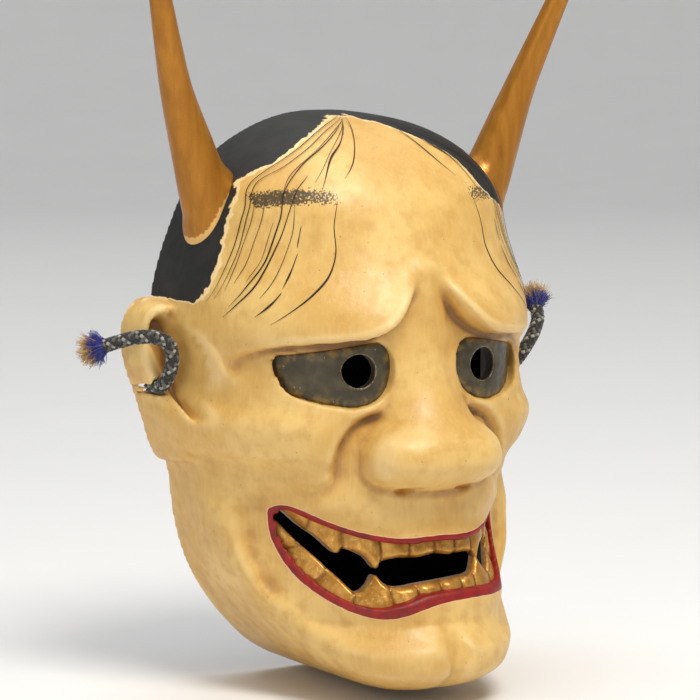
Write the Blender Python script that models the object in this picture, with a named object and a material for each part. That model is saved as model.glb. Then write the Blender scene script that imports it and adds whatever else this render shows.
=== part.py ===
"""A horned demon mask of the Japanese noh stage: carved shell, horns, eye plates, teeth and cord.

Lengths are in millimetres until a mesh is made, and in metres from there on. The mask faces -Y,
+Z is up, and left and right are as seen from the front. The back rim lies in the plane y = 0 and
the middle of the face is x = 0. Outlines count z from the pupils, and the objects are then placed
so that the origin is the middle of the upper back rim, by which the mask is held. A "height" is the
distance forward of the back rim, so a surface of height h lies at y = -h.
"""

import math

import bmesh
import bpy
import numpy as np
from mathutils import Matrix, Quaternion, Vector
from mathutils.geometry import delaunay_2d_cdt

METRE = 0.001
RIM_ABOVE_PUPILS = 88.5  # z of the frame's origin, counted from the pupils
GAP = 0.4  # between pieces that are glued or pressed together

# Shell
WALL = 7.0  # thickness of the carved wood
CARVE_PITCH = 1.5  # lattice on which the shell is carved
SHELL_TRIANGLES = 4800
ROUND_EDGE = 4.0  # softness of the edge where the sides meet the front

# Half outlines and feature lines of the face, as (x, z), from the middle outwards
FACE = [(0, 92.5), (14, 91.6), (30, 86.5), (45, 78), (57.6, 65), (66, 48), (71.3, 33), (73.4, 20),
        (73.4, -20), (71.5, -42), (70.5, -60), (68, -71), (62.5, -82), (55, -91), (46, -99.5),
        (32, -110.5), (17, -118.5), (0, -121.5)]
EAR = [(62, 20), (69, 23.5), (76.5, 24.2), (82.5, 20.5), (86, 12), (85.3, 1), (82.5, -8),
       (79.5, -15.5), (76.5, -23.5), (74.6, -31), (71, -37.5), (65, -38.5), (60, -35), (58, -24),
       (60, -10), (62, 5)]
CONCHA = [(79, 16.5), (74.5, 17), (70, 10.5), (67.2, 2.5), (65.8, -6), (64.6, -14), (64, -21),
          (67.5, -20.5), (70.6, -14), (73.5, -6), (77.2, 2.5), (80.4, 10)]
TRAGUS = [(82, 21), (75.5, 20.5), (70.5, 14.5), (66.5, 5), (63, -1)]
BROW = [(5.6, 40), (6.4, 35), (8.8, 30), (12.2, 24.8), (17, 18.6), (22.4, 14.4), (28, 12.4),
        (37, 11.2), (47.6, 9.8), (58, 8.2), (66, 7)]
NOSE_CREASE = [(15.5, -17.5), (21, -17.2), (27, -20), (31.6, -26), (33.4, -33), (33.5, -40),
               (36.5, -43.8), (43.5, -45.9), (51, -49), (56, -54)]
LIP_GROOVE = [(51, -49), (53.5, -57), (52.5, -68), (48.5, -79), (41.5, -88.5), (31, -94.5),
              (18, -95), (6, -92)]
EYE = [(50.6, 4.6), (45, 6.3), (35, 8.2), (26, 9.8), (18.5, 10.2), (14.3, 6.5), (13, 0),
       (15, -6.5), (20, -11.2), (27, -13.2), (34, -12.8), (42, -11), (48.3, -8), (50.9, -2)]
MOUTH = [(0, -63.2), (14, -63.4), (25, -61.6), (33, -58.6), (39.5, -55.2), (44.3, -52.8),
         (46.4, -54.6), (45.7, -61), (43.6, -68), (40.6, -75.5), (36, -82), (30, -86.2),
         (23, -87.6), (14.5, -85.4), (7, -82.6), (0, -81.4)]
UPPER_TEETH = [(0, -60.6), (14, -60.8), (25, -59), (33, -56), (39.5, -52.8), (43.6, -50.8),
               (46.6, -51.6), (43.6, -54.6), (39.6, -59), (36.4, -62.2), (32, -67.9),
               (29.2, -66.4), (24.4, -68.8), (21.5, -73.2), (18, -70), (13.9, -69.2), (7, -69.4),
               (0, -68.6)]
LOWER_TEETH = [(0, -78.9), (7.7, -80.3), (15.5, -80.4), (19.6, -78.4), (22.3, -75.3),
               (25.4, -79.4), (28.6, -81.4), (34, -73), (40, -64.2), (45.2, -56.6), (48.2, -60),
               (46.2, -69), (43, -76.8), (38, -84), (31.2, -88.6), (23, -90.2), (14, -88),
               (6.5, -85.2), (0, -84)]

# Mouth: how thick the lips are, and how far behind their front the teeth stand
LIP_DEPTH = 3.2
TOOTH_SETBACK = 4.4
TOOTH_DEPTH = 4.0
POCKET_SPREAD = 3.2  # how far the pocket for the teeth runs under the lips

# Eyes
PUPIL = (26.3, 0.0)
PUPIL_RADIUS = 6.1
PUPIL_BORE_RADIUS = 6.6
PLATE_THICKNESS = 1.0
PLATE_SETBACK = 1.2

# Horns: centre line as (x, z, height), and the radius there
HORN = [((51, 36, 17), 8.0), ((56, 49, 20), 9.4), ((60.5, 62, 22), 9.4), ((66, 78, 23.5), 8.2),
        ((73.6, 98.7, 26), 6.1), ((80, 118, 31), 4.9), ((86.5, 138, 37), 3.8),
        ((92, 154, 42.5), 2.6), ((96, 167, 46), 1.1)]
TENON_RADIUS = 4.0
TENON_DEPTH = 8.0
MORTISE_RADIUS = TENON_RADIUS + GAP

# Cord: one cord in fact, in three stretches that each keep their shape
CORD_RADIUS = 2.75
SHEATH_BORE = 1.55
CORE_RADIUS = 1.25
CORD_HOLE = (76.4, -8.7)  # x and z of the hole through each ear
CORD_HOLE_RADIUS = 3.3
CORD_LINE = 3.5  # height at which the hanging stretch lies in the back of the ears
GROOVE_RADIUS = 3.6
CORD_END_LEFT = [(76.4, -8.7, 8), (76.4, -8.7, 14), (76.6, -8, 18.6), (75.6, -3.5, 22),
                 (75, 2.2, 23.6), (77, 8, 24.2), (82.4, 10.6, 23.4), (88, 10.4, 19.8),
                 (92.6, 8.6, 14.6), (97, 6.6, 10)]
CORD_END_RIGHT = [(76.4, -8.7, 8), (76.4, -8.7, 14), (76.6, -8, 18.6), (77.6, -4.6, 22.2),
                  (80.2, 0.4, 24), (83.2, 5.2, 24), (85.8, 9.9, 22.2), (86.6, 14.4, 19)]
TUFT_LENGTH = 7.0  # how far the core stands out of the frayed sheath
HANGING = [(75, -8.7), (62, -8.7), (55.5, -6), (52.5, 2), (50, 14), (44, 30), (33, 43), (17, 51),
           (0, 53.5)]


# ---------------------------------------------------------------- curves and fields

def curve(at, points):
    """A smooth curve through (position, value) points that never overshoots them."""
    table = np.array(sorted(points), float)
    x = table[:, 0]
    y = table[:, 1]
    width = np.diff(x)
    slope = np.diff(y) / width
    tangent = np.zeros_like(y)
    before = 2 * width[1:] + width[:-1]
    after = width[1:] + 2 * width[:-1]
    level = slope[:-1] * slope[1:] <= 0
    first = np.where(level, 1, slope[:-1])
    second = np.where(level, 1, slope[1:])
    mean = (before + after) / (before / first + after / second)
    tangent[1:-1] = np.where(level, 0, mean)
    tangent[0] = slope[0]
    tangent[-1] = slope[-1]
    at = np.clip(at, x[0], x[-1])
    i = np.clip(np.searchsorted(x, at) - 1, 0, len(x) - 2)
    t = (at - x[i]) / width[i]
    value = y[i] * (1 + 2 * t) * (1 - t) ** 2 + tangent[i] * width[i] * t * (1 - t) ** 2
    return value + y[i + 1] * t * t * (3 - 2 * t) + tangent[i + 1] * width[i] * t * t * (t - 1)


def step(start, end, value):
    """0 at start, 1 at end, smooth between."""
    t = np.clip((value - start) / (end - start), 0, 1)
    return t * t * (3 - 2 * t)


def smooth_max(a, b, blend):
    return (a + b + np.sqrt((a - b) ** 2 + blend * blend)) / 2


def bump(x, z, centre, radii):
    """A round swelling of height 1."""
    return np.exp(-((x - centre[0]) / radii[0]) ** 2 - ((z - centre[1]) / radii[1]) ** 2)


def spline(points, closed=False, steps=6):
    """Points along a Catmull-Rom curve through the given ones."""
    knots = np.array(points, float)
    count = len(knots)
    if closed:
        padded = np.concatenate([knots[-1:], knots, knots[:2]])
        spans = count
    else:
        head = 2 * knots[:1] - knots[1:2]
        tail = 2 * knots[-1:] - knots[-2:-1]
        padded = np.concatenate([head, knots, tail])
        spans = count - 1
    t = (np.arange(steps) / steps)[:, None]
    line = []
    for i in range(spans):
        a, b, c, d = padded[i:i + 4]
        line.append(b + 0.5 * t * (c - a + t * (2 * a - 5 * b + 4 * c - d)
                                   + t * t * (3 * b - a - 3 * c + d)))
    if not closed:
        line.append(knots[-1:])
    return np.concatenate(line)


def nearest(x, z, line):
    """For each point: its distance to the line, its side (1 left, -1 right), how far along."""
    best = np.full(x.shape, np.inf)
    side = np.ones(x.shape)
    along = np.zeros(x.shape)
    for i, (start, end) in enumerate(zip(line[:-1], line[1:])):
        run = end - start
        t = np.clip(((x - start[0]) * run[0] + (z - start[1]) * run[1]) / (run @ run), 0, 1)
        off_x = x - start[0] - t * run[0]
        off_z = z - start[1] - t * run[1]
        distance = np.hypot(off_x, off_z)
        closer = distance < best
        best = np.where(closer, distance, best)
        side = np.where(closer, np.sign(run[0] * off_z - run[1] * off_x), side)
        along = np.where(closer, (i + t) / (len(line) - 1), along)
    return best, side, along


def stroke(x, z, points):
    """Signed distance to a smooth open line, positive on its left, and how far along, 0 to 1."""
    distance, side, along = nearest(x, z, spline(points))
    return distance * side, along


def region(x, z, points):
    """Signed distance to a smooth closed outline, negative inside."""
    line = spline(points, closed=True)
    line = np.concatenate([line, line[:1]])
    distance = nearest(x, z, line)[0]
    inside = np.zeros(x.shape, bool)
    for start, end in zip(line[:-1], line[1:]):
        if start[1] == end[1]:
            continue
        crosses = (start[1] > z) != (end[1] > z)
        at = start[0] + (z - start[1]) * (end[0] - start[0]) / (end[1] - start[1])
        inside ^= crosses & (x < at)
    return np.where(inside, -distance, distance)


def mirrored(half):
    """The closed outline whose +X half this is. Both its ends are on the middle."""
    return half + [(-x, z) for x, z in half[-2:0:-1]]


# ---------------------------------------------------------------- the carved face

def dome(x, depth, half_width, power):
    """A section across the head: depth in the middle, falling to 0 at the half width."""
    ratio = np.clip(x / half_width, 0, 1)
    return depth * (1 - ratio ** power) ** (1 / power)


def forehead(x, z):
    depth = curve(z, [(0, 88), (8.5, 89), (12, 93), (15, 93), (20, 91.2), (27, 86.5), (35, 80.6),
                      (41, 77.8), (50, 74), (62, 68.3), (70, 62.5), (78, 54), (84, 45), (88.5, 35),
                      (91, 26), (92.5, 18)])
    half_width = curve(z, [(0, 74), (25, 74), (41, 71), (48, 68.5), (65, 61), (78, 50), (87, 38),
                           (92.5, 30)])
    power = curve(z, [(0, 2), (41, 2), (62, 2.4), (80, 2.7), (92, 3)])
    return dome(x, depth, half_width, power)


def lower_face(x, z):
    """Jaw and cheeks, with the muzzle and the chin standing out of them."""
    depth = curve(z, [(-122, 46), (-115, 50), (-100, 60), (-85, 63), (-75, 62), (-60, 57),
                      (-50, 57), (-38, 60), (-28, 65), (-20, 70), (-10, 75), (0, 76), (20, 77),
                      (35, 80)])
    half_width = curve(z, [(-122, 50), (-112, 56), (-100, 62), (-90, 66), (-82, 69), (-71, 72),
                           (-56, 74), (-40, 73), (35, 73)])
    power = curve(z, [(-122, 2.6), (-60, 2.6), (-45, 2.2), (-30, 2.05), (-20, 2), (35, 2)])
    jaw = dome(x, depth, half_width, power)
    ridge = curve(z, [(-124, 50), (-121, 68), (-118, 84), (-114, 95), (-108, 102.5), (-101, 103.5),
                      (-95, 99), (-90, 95), (-85, 95), (-80, 93.5), (-70, 89.5), (-63, 88),
                      (-55, 85.5), (-46, 84.5), (-38, 83.5), (-30, 82), (-20, 80), (-14, 77),
                      (-8, 71), (-2, 62)])
    fall = curve(z, [(-121, 34), (-110, 32), (-100, 30), (-88, 25), (-78, 27), (-60, 28),
                     (-50, 20), (-43, 16.4), (-38, 15), (-30, 9.8), (-20, 8), (-8, 10)])
    power = curve(z, [(-121, 2.6), (-88, 2.55), (-60, 2.5), (-45, 3), (0, 3)])
    muzzle = ridge - fall * (x / 40) ** power
    return smooth_max(jaw, muzzle, 4)


def nose(x, z):
    top = curve(z, [(-48, 68), (-46, 77), (-44, 86), (-41, 93.5), (-37, 98.5), (-32, 100.6),
                    (-27, 99.6), (-20, 94.8), (-12, 88.8), (-4, 85), (4, 83), (14, 82.3),
                    (24, 82), (34, 81), (38, 79.5)])
    foot = curve(z, [(-48, 66), (-42, 73), (-32, 76), (-24, 78), (-14, 77), (0, 73), (20, 70),
                     (30, 74), (38, 79)])
    half_width = curve(z, [(-48, 12), (-46, 20), (-44, 25), (-41, 28.6), (-37, 31), (-32, 31.2),
                           (-27, 29), (-23, 25.5), (-19, 20.5), (-12, 16), (-4, 14), (6, 13),
                           (20, 12), (30, 10), (38, 9)])
    power = curve(z, [(-44, 2.2), (-34, 2.5), (-26, 2.4), (-15, 1.8), (0, 1.7), (30, 1.7)])
    ratio = x / half_width
    section = (1 - np.clip(ratio, 0, 1) ** power) ** (1 / power)
    return foot + (top - foot) * section - 40 * np.clip(ratio - 1, 0, 9)


def carve_line(height, x, z, points, depth, width):
    """The height with a groove along a line. depth and width are curves of how far along."""
    distance, along = stroke(x, z, points)
    return height - curve(along, depth) * np.exp(-(distance / curve(along, width)) ** 2)


def with_brow(height, x, z):
    """The forehead laid over the eyes, ending in a ledge that fades into the bridge."""
    distance, along = stroke(x, z, BROW)
    width = curve(along, [(0, 2.5), (0.08, 4), (0.2, 8), (0.36, 6), (0.5, 1.4), (0.8, 1.3),
                          (0.9, 4), (1, 14)])
    mix = step(-1, 0, distance / width)
    mix = mix + (1 - mix) * step(33, 39, z)
    edge = np.exp(-((distance - 0.8) / 2.2) ** 2) * step(0.1, 0.3, along) * step(0.95, 0.8, along)
    return height + (forehead(x, z) - height) * mix + edge


def with_ear(height, x, z):
    rim = region(x, z, EAR)
    ear = 14 + 0.3 * (84 - x) + 2.6 * np.exp(-((rim + 3.6) / 3) ** 2)
    ear = ear - 5 * step(-2.6, 0.4, rim) - 70 * step(0, 7, rim)
    ear = ear + 8 * bump(x, z, (64, -29), (8, 8))
    height = smooth_max(height, ear, 2)
    height = carve_line(height, x, z, TRAGUS, [(0, 0), (0.25, -2.5), (0.6, -4), (0.85, -3), (1, 0)],
                        [(0, 4.2), (1, 4.2)])
    floor = 10.5 + 6 * step(0, -20, z)
    inside = step(0.8, -2.6, region(x, z, CONCHA))
    return height + (np.minimum(height, floor) - height) * inside


def relief(x, z):
    """Height of the outer surface over a point of the back plane."""
    x = np.abs(x)
    height = lower_face(x, z)
    height = height + 6 * bump(x, z, (27, -1), (17, 14)) + 2.5 * bump(x, z, (54, -18), (13, 12))
    height = smooth_max(height, nose(x, z), 2.5)
    height = carve_line(height, x, z, NOSE_CREASE,
                        [(0, 0), (0.1, 4), (0.4, 4.5), (0.6, 3.5), (0.8, 2.5), (1, 0)],
                        [(0, 2), (0.5, 2.8), (1, 5)])
    height = carve_line(height, x, z, LIP_GROOVE,
                        [(0, 1), (0.15, 4), (0.4, 4.5), (0.6, 3.5), (0.8, 2), (1, 0)],
                        [(0, 5), (1, 5)])
    height = with_brow(height, x, z)
    height = height - 4 * bump(x, z, (0, -100), (4.6, 4.6)) - 3.2 * bump(x, z, (0, -110), (2.8, 7))
    lip = region(x, z, mirrored(MOUTH))
    height = height + 1.4 * np.exp(-((lip - 1.5) / 1.8) ** 2)
    lid = region(x, z, EYE)
    height = height + 0.8 * np.exp(-((lid - 1.6) / 1.6) ** 2) * step(9, 2, z)
    return with_ear(height, x, z)


def worn_down(height, radius, pitch):
    """The height field offset inwards by a radius: where a ball of that radius just fits."""
    reach = int(radius / pitch)
    result = height.copy()
    for i in range(-reach, reach + 1):
        for j in range(-reach, reach + 1):
            spread = radius ** 2 - (i * i + j * j) * pitch ** 2
            if spread < 0:
                continue
            moved = np.roll(height, (i, j), axis=(0, 1))
            result = np.minimum(result, moved - math.sqrt(spread))
    return result


def smoothed(height, passes):
    """The height field after repeated averaging with its neighbours."""
    for _ in range(passes):
        around = sum(np.roll(height, way, axis) for way in (1, -1) for axis in (0, 1))
        height = (height + around / 4) / 2
    return height


def shell_field(pitch):
    """Field of the carved shell on a lattice, negative inside the wood, with the first corner."""
    x_line = np.arange(-90, 90 + pitch, pitch)
    y_line = np.arange(-111, 3 * pitch, pitch)
    z_line = np.arange(-127, 97, pitch)
    x, z = np.meshgrid(x_line, z_line, indexing="ij")
    height = smoothed(relief(x, z), 1)
    face = region(np.abs(x), z, mirrored(FACE))
    outline = np.minimum(face, region(np.abs(x), z, EAR))
    hollow = smoothed(worn_down(height, WALL, pitch), 6)
    hollow = np.minimum(hollow, height - 0.6 * WALL)
    slope = np.hypot(*np.gradient(height, pitch))
    hollow_slope = np.hypot(*np.gradient(hollow, pitch))
    y = y_line[None, :, None]
    outside = -(y + height[:, None, :]) / np.sqrt(1 + slope ** 2)[:, None, :]
    outside = smooth_max(outside, outline[:, None, :] + 0 * y, ROUND_EDGE)
    inside = -(y + hollow[:, None, :]) / np.sqrt(1 + hollow_slope ** 2)[:, None, :]
    inside = smooth_max(inside, face[:, None, :] + WALL + 0 * y, ROUND_EDGE)
    field = np.maximum(np.maximum(outside, -inside), y - 1.5 * pitch)
    return field, np.array([x_line[0], y_line[0], z_line[0]])


def surface_net(field, corner, pitch):
    """Points and quads round the zero level of a field on a lattice. Negative is inside."""
    inside = field < 0
    cells_along = [size - 1 for size in field.shape]
    corners = [(i, j, k) for i in (0, 1) for j in (0, 1) for k in (0, 1)]
    count = np.zeros(cells_along, np.int8)
    for i, j, k in corners:
        count += inside[i:i + cells_along[0], j:j + cells_along[1], k:k + cells_along[2]]
    cells = np.argwhere((count > 0) & (count < 8))
    index = np.full(cells_along, -1, np.int32)
    index[tuple(cells.T)] = np.arange(len(cells))
    value = {c: field[tuple((cells + c).T)] for c in corners}
    total = np.zeros((len(cells), 3))
    hits = np.zeros((len(cells), 1))
    for start in corners:
        for axis in range(3):
            if start[axis]:
                continue
            end = tuple(v + (n == axis) for n, v in enumerate(start))
            crossed = (value[start] < 0) != (value[end] < 0)
            change = np.where(crossed, value[start] - value[end], 1)
            point = np.tile(np.array(start, float), (len(cells), 1))
            point[:, axis] += value[start] / change
            total += point * crossed[:, None]
            hits += crossed[:, None]
    points = (cells + total / hits) * pitch + corner
    quads = []
    for axis in range(3):
        across = (axis + 1) % 3
        up = (axis + 2) % 3
        below = np.moveaxis(inside, axis, 0)[:-1]
        above = np.moveaxis(inside, axis, 0)[1:]
        found = np.argwhere(below != above)
        solid_below = below[tuple(found.T)]
        edges = np.empty_like(found)
        others = [n for n in range(3) if n != axis]
        edges[:, axis] = found[:, 0]
        edges[:, others[0]] = found[:, 1]
        edges[:, others[1]] = found[:, 2]
        ring = []
        for back, down in ((-1, -1), (0, -1), (0, 0), (-1, 0)):
            cell = edges.copy()
            cell[:, across] += back
            cell[:, up] += down
            ring.append(index[tuple(cell.T)])
        quad = np.stack(ring, axis=1)
        quad[~solid_below] = quad[~solid_below][:, ::-1]
        quads.append(quad)
    return points, np.concatenate(quads)


# ---------------------------------------------------------------- Blender objects

def new_material(name, colour, roughness, metallic=0.0):
    material = bpy.data.materials.new(name)
    material.use_nodes = True
    shader = material.node_tree.nodes["Principled BSDF"]
    shader.inputs["Base Color"].default_value = (*colour, 1)
    shader.inputs["Roughness"].default_value = roughness
    shader.inputs["Metallic"].default_value = metallic
    return material


def add_object(name, points, faces, material=None, origin=(0, 0, 0)):
    """A mesh object from points in millimetres, with its origin where it turns."""
    origin = np.array(origin, float)
    mesh = bpy.data.meshes.new(name)
    mesh.from_pydata(((np.asarray(points, float) - origin) * METRE).tolist(), [],
                     [list(map(int, face)) for face in faces])
    mesh.update()
    if material:
        mesh.materials.append(material)
        mesh.shade_smooth()
    thing = bpy.data.objects.new(name, mesh)
    thing.location = ((origin - (0, 0, RIM_ABOVE_PUPILS)) * METRE).tolist()
    bpy.context.scene.collection.objects.link(thing)
    return thing


def as_helper(thing):
    """Marks an object that only shapes others."""
    thing.hide_render = True
    thing.display_type = "WIRE"
    return thing


def boolean(target, other, operation="DIFFERENCE"):
    modifier = target.modifiers.new(f"{operation.lower()}_{other.name}", "BOOLEAN")
    modifier.object = other
    modifier.operation = operation
    modifier.solver = "EXACT"


def at_height(x, z, height):
    """The point of that height over (x, z)."""
    return (x, -height, z)


def grown(outline, distance):
    """A smooth closed outline moved outwards by a distance."""
    edge = spline(outline, closed=True, steps=2)
    ahead = np.roll(edge, -1, axis=0)
    run = ahead - np.roll(edge, 1, axis=0)
    area = (edge[:, 0] * ahead[:, 1] - edge[:, 1] * ahead[:, 0]).sum()
    outwards = np.stack([run[:, 1], -run[:, 0]], axis=1) * np.sign(area)
    return edge + distance * outwards / np.linalg.norm(outwards, axis=1, keepdims=True)


def over_outline(edge, front, back, spacing=5):
    """Points and faces of a closed solid over a closed outline, between two heights by (x, z)."""
    count = len(edge)
    low = edge.min(axis=0)
    high = edge.max(axis=0)
    x, z = np.meshgrid(np.arange(low[0], high[0], spacing), np.arange(low[1], high[1], spacing))
    keep = region(x, z, edge) < -0.5 * spacing
    inner = np.stack([x[keep], z[keep]], axis=1)
    flat = [Vector(point) for point in np.concatenate([edge, inner]).tolist()]
    ring = [(i, (i + 1) % count) for i in range(count)]
    found, _, triangles, _, _, _ = delaunay_2d_cdt(flat, ring, [], 1, 1e-6)
    plan = np.array([tuple(point) for point in found])
    many = len(plan)
    points = [at_height(x, z, h) for (x, z), h in zip(plan, front(*plan.T))]
    points += [at_height(x, z, h) for (x, z), h in zip(plan, back(*plan.T))]
    faces = [tuple(face) for face in triangles]
    faces += [tuple(many + i for i in reversed(face)) for face in triangles]
    sides = {(a, b) for face in triangles for a, b in zip(face, face[1:] + face[:1])}
    for a, b in sides:
        if (b, a) not in sides:
            faces.append((b, a, many + a, many + b))
    return points, faces


def flat_at(height):
    return lambda x, z: np.full(x.shape, float(height))


def behind_lips(depth):
    return lambda x, z: lower_face(np.abs(x), z) - depth


def rings_along(path, radii, segments):
    """Circles of points round a path of 3-D points, turned as little as possible on the way."""
    centres = [Vector(point) for point in path]
    tangent = (centres[1] - centres[0]).normalized()
    side = tangent.orthogonal().normalized()
    rings = []
    for i, centre in enumerate(centres):
        ahead = centres[min(i + 1, len(centres) - 1)] - centres[max(i - 1, 0)]
        ahead.normalize()
        side = tangent.rotation_difference(ahead) @ side
        tangent = ahead
        turn = Quaternion(tangent, 2 * math.pi / segments)
        arm = side * radii[i]
        ring = []
        for _ in range(segments):
            ring.append(tuple(centre + arm))
            arm = turn @ arm
        rings.append(ring)
    return rings


def skin(rings, segments, reverse=False):
    """Quads between neighbouring rings, whose points are numbered in order."""
    faces = []
    for i in range(len(rings) - 1):
        for j in range(segments):
            a = i * segments + j
            b = i * segments + (j + 1) % segments
            quad = (a, b, b + segments, a + segments)
            faces.append(quad[::-1] if reverse else quad)
    return faces


def rod(path, radii, segments):
    """Points and faces of a solid round bar along a path."""
    rings = rings_along(path, radii, segments)
    faces = skin(rings, segments)
    last = (len(rings) - 1) * segments
    faces.append(tuple(range(segments - 1, -1, -1)))
    faces.append(tuple(last + j for j in range(segments)))
    return [point for ring in rings for point in ring], faces


def tube(path, radii, bore, segments):
    """Points and faces of a tube along a path, open at both ends."""
    outer = rings_along(path, radii, segments)
    inner = rings_along(path, [bore] * len(path), segments)
    points = [point for ring in outer + inner for point in ring]
    faces = skin(outer, segments)
    many = len(outer) * segments
    faces += [tuple(many + i for i in face) for face in skin(inner, segments, reverse=True)]
    last = many - segments
    for j in range(segments):
        k = (j + 1) % segments
        faces.append((k, j, many + j, many + k))
        faces.append((last + j, last + k, many + last + k, many + last + j))
    return points, faces


def cylinder(name, start, end, radius, segments=32):
    points, faces = rod([start, end], [radius, radius], segments)
    return as_helper(add_object(name, points, faces))


def block(name, low, high):
    points = [(x, y, z) for x in (low[0], high[0]) for y in (low[1], high[1]) for z in (low[2], high[2])]
    faces = [(0, 1, 3, 2), (4, 6, 7, 5), (0, 4, 5, 1), (2, 3, 7, 6), (0, 2, 6, 4), (1, 5, 7, 3)]
    return as_helper(add_object(name, points, faces))


def sided(points, side):
    """(x, z, ...) points put on one side of the face: -1 left, 1 right."""
    return [(side * point[0], *point[1:]) for point in points]


# ---------------------------------------------------------------- pieces

def carved_shell(material):
    field, corner = shell_field(CARVE_PITCH)
    points, quads = surface_net(field, corner, CARVE_PITCH)
    shell = add_object("mask_shell", points, quads, material)
    thin = shell.modifiers.new("fewer_triangles", "DECIMATE")
    thin.ratio = SHELL_TRIANGLES / (2 * len(quads))
    boolean(shell, block("behind_the_rim", (-120, 0, -150), (120, 20, 120)))
    return shell


def plate_height(x, z):
    """Front of an eye plate, which curves round the eyeball from the inner corner outwards."""
    return 78.5 - PLATE_SETBACK - 0.0245 * (np.abs(x) - 20.5) ** 2 + 0 * z


def eye_plate(side, shell, material):
    name = "eye_plate_left" if side < 0 else "eye_plate_right"
    outline = sided(EYE, side)
    points, faces = over_outline(grown(outline, 0), flat_at(130),
                                 lambda x, z: plate_height(x, z) - PLATE_THICKNESS - GAP)
    seat_cutter = as_helper(add_object(name + "_seat", points, faces))
    boolean(shell, seat_cutter)
    x = side * PUPIL[0]
    z = PUPIL[1]
    boolean(shell, cylinder(name + "_sight", (x, -130, z), (x, 10, z), PUPIL_BORE_RADIUS))
    points, faces = over_outline(grown(outline, -GAP), plate_height,
                                 lambda x, z: plate_height(x, z) - PLATE_THICKNESS)
    plate = add_object(name, points, faces, material)
    boolean(plate, cylinder(name + "_pupil", (x, -130, z), (x, 10, z), PUPIL_RADIUS))
    return plate


def cut_mouth(shell):
    opening = mirrored(MOUTH)
    points, faces = over_outline(grown(opening, 0), flat_at(130), flat_at(-10), 12)
    boolean(shell, as_helper(add_object("mouth_opening", points, faces)))
    points, faces = over_outline(grown(opening, POCKET_SPREAD), behind_lips(LIP_DEPTH),
                                 behind_lips(40))
    boolean(shell, as_helper(add_object("teeth_pocket", points, faces)))


def teeth(name, half, material):
    points, faces = over_outline(grown(mirrored(half), -GAP), behind_lips(TOOTH_SETBACK),
                                 behind_lips(TOOTH_SETBACK + TOOTH_DEPTH))
    return add_object(name, points, faces, material)


def head_block():
    """The outer form of the head under the right horn, larger by the gap, for trimming its foot."""
    pitch = 2.5
    x_line = np.arange(32, 92, pitch)
    y_line = np.arange(-70, 25, pitch)
    z_line = np.arange(15, 102, pitch)
    x, z = np.meshgrid(x_line, z_line, indexing="ij")
    height = relief(x, z)
    slope = np.hypot(*np.gradient(height, pitch))
    outline = np.minimum(region(x, z, mirrored(FACE)), region(x, z, EAR))
    y = y_line[None, :, None]
    field = -(y + height[:, None, :]) / np.sqrt(1 + slope ** 2)[:, None, :]
    field = smooth_max(field, outline[:, None, :] + 0 * y, ROUND_EDGE) - GAP
    field = np.maximum(field, y - 12)
    field[0] = field[:, 0] = field[:, :, 0] = pitch
    return surface_net(field, np.array([x_line[0], y_line[0], z_line[0]]), pitch)


def horn(side, shell, material):
    name = "horn_left" if side < 0 else "horn_right"
    knots = [(side * x, -height, z, radius) for (x, z, height), radius in HORN]
    line = spline(knots, steps=3)
    tip = line[-1, :3] + (line[-1, :3] - line[-2, :3]) * 0.2
    path = [*line[:, :3].tolist(), tip.tolist()]
    radii = [*line[:, 3].tolist(), 0.35]
    points, faces = rod(path, radii, 16)
    piece = add_object(name, points, faces, material)
    block, quads = head_block()
    block[:, 0] *= side
    if side < 0:
        quads = quads[:, ::-1]
    boolean(piece, as_helper(add_object(name + "_foot_form", block, quads)))
    foot = Vector((side * HORN[2][0][0], -HORN[2][0][2], HORN[2][0][1]))
    below = Vector((side * HORN[1][0][0], -HORN[1][0][2], HORN[1][0][1]))
    down = (below - foot).normalized()
    tenon = cylinder(name + "_tenon", foot - down * 5, foot + down * (TENON_DEPTH + 2), TENON_RADIUS, 20)
    boolean(piece, tenon, "UNION")
    mortise = cylinder(name + "_mortise", foot - down * 25, foot + down * (TENON_DEPTH + 2 + GAP),
                       MORTISE_RADIUS, 24)
    boolean(shell, mortise)
    return piece


def drill_cord_holes(shell):
    for side in (-1, 1):
        x = side * CORD_HOLE[0]
        z = CORD_HOLE[1]
        boolean(shell, cylinder(f"cord_hole{side}", (x, -40, z), (x, 10, z), CORD_HOLE_RADIUS, 24))
        ends = sorted((side * 58, side * (CORD_HOLE[0] + 1.5)))
        arc = [math.pi * k / 12 for k in range(13)]
        profile = [(-CORD_LINE - GROOVE_RADIUS * math.sin(a), z + GROOVE_RADIUS * math.cos(a))
                   for a in arc]
        profile += [(10, z - GROOVE_RADIUS), (10, z + GROOVE_RADIUS)]
        many = len(profile)
        points = [(x, *point) for x in ends for point in profile]
        faces = [tuple(range(many - 1, -1, -1)), tuple(range(many, 2 * many))]
        faces += [(i, (i + 1) % many, many + (i + 1) % many, many + i) for i in range(many)]
        boolean(shell, as_helper(add_object(f"cord_groove{side}", points, faces)))


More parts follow.
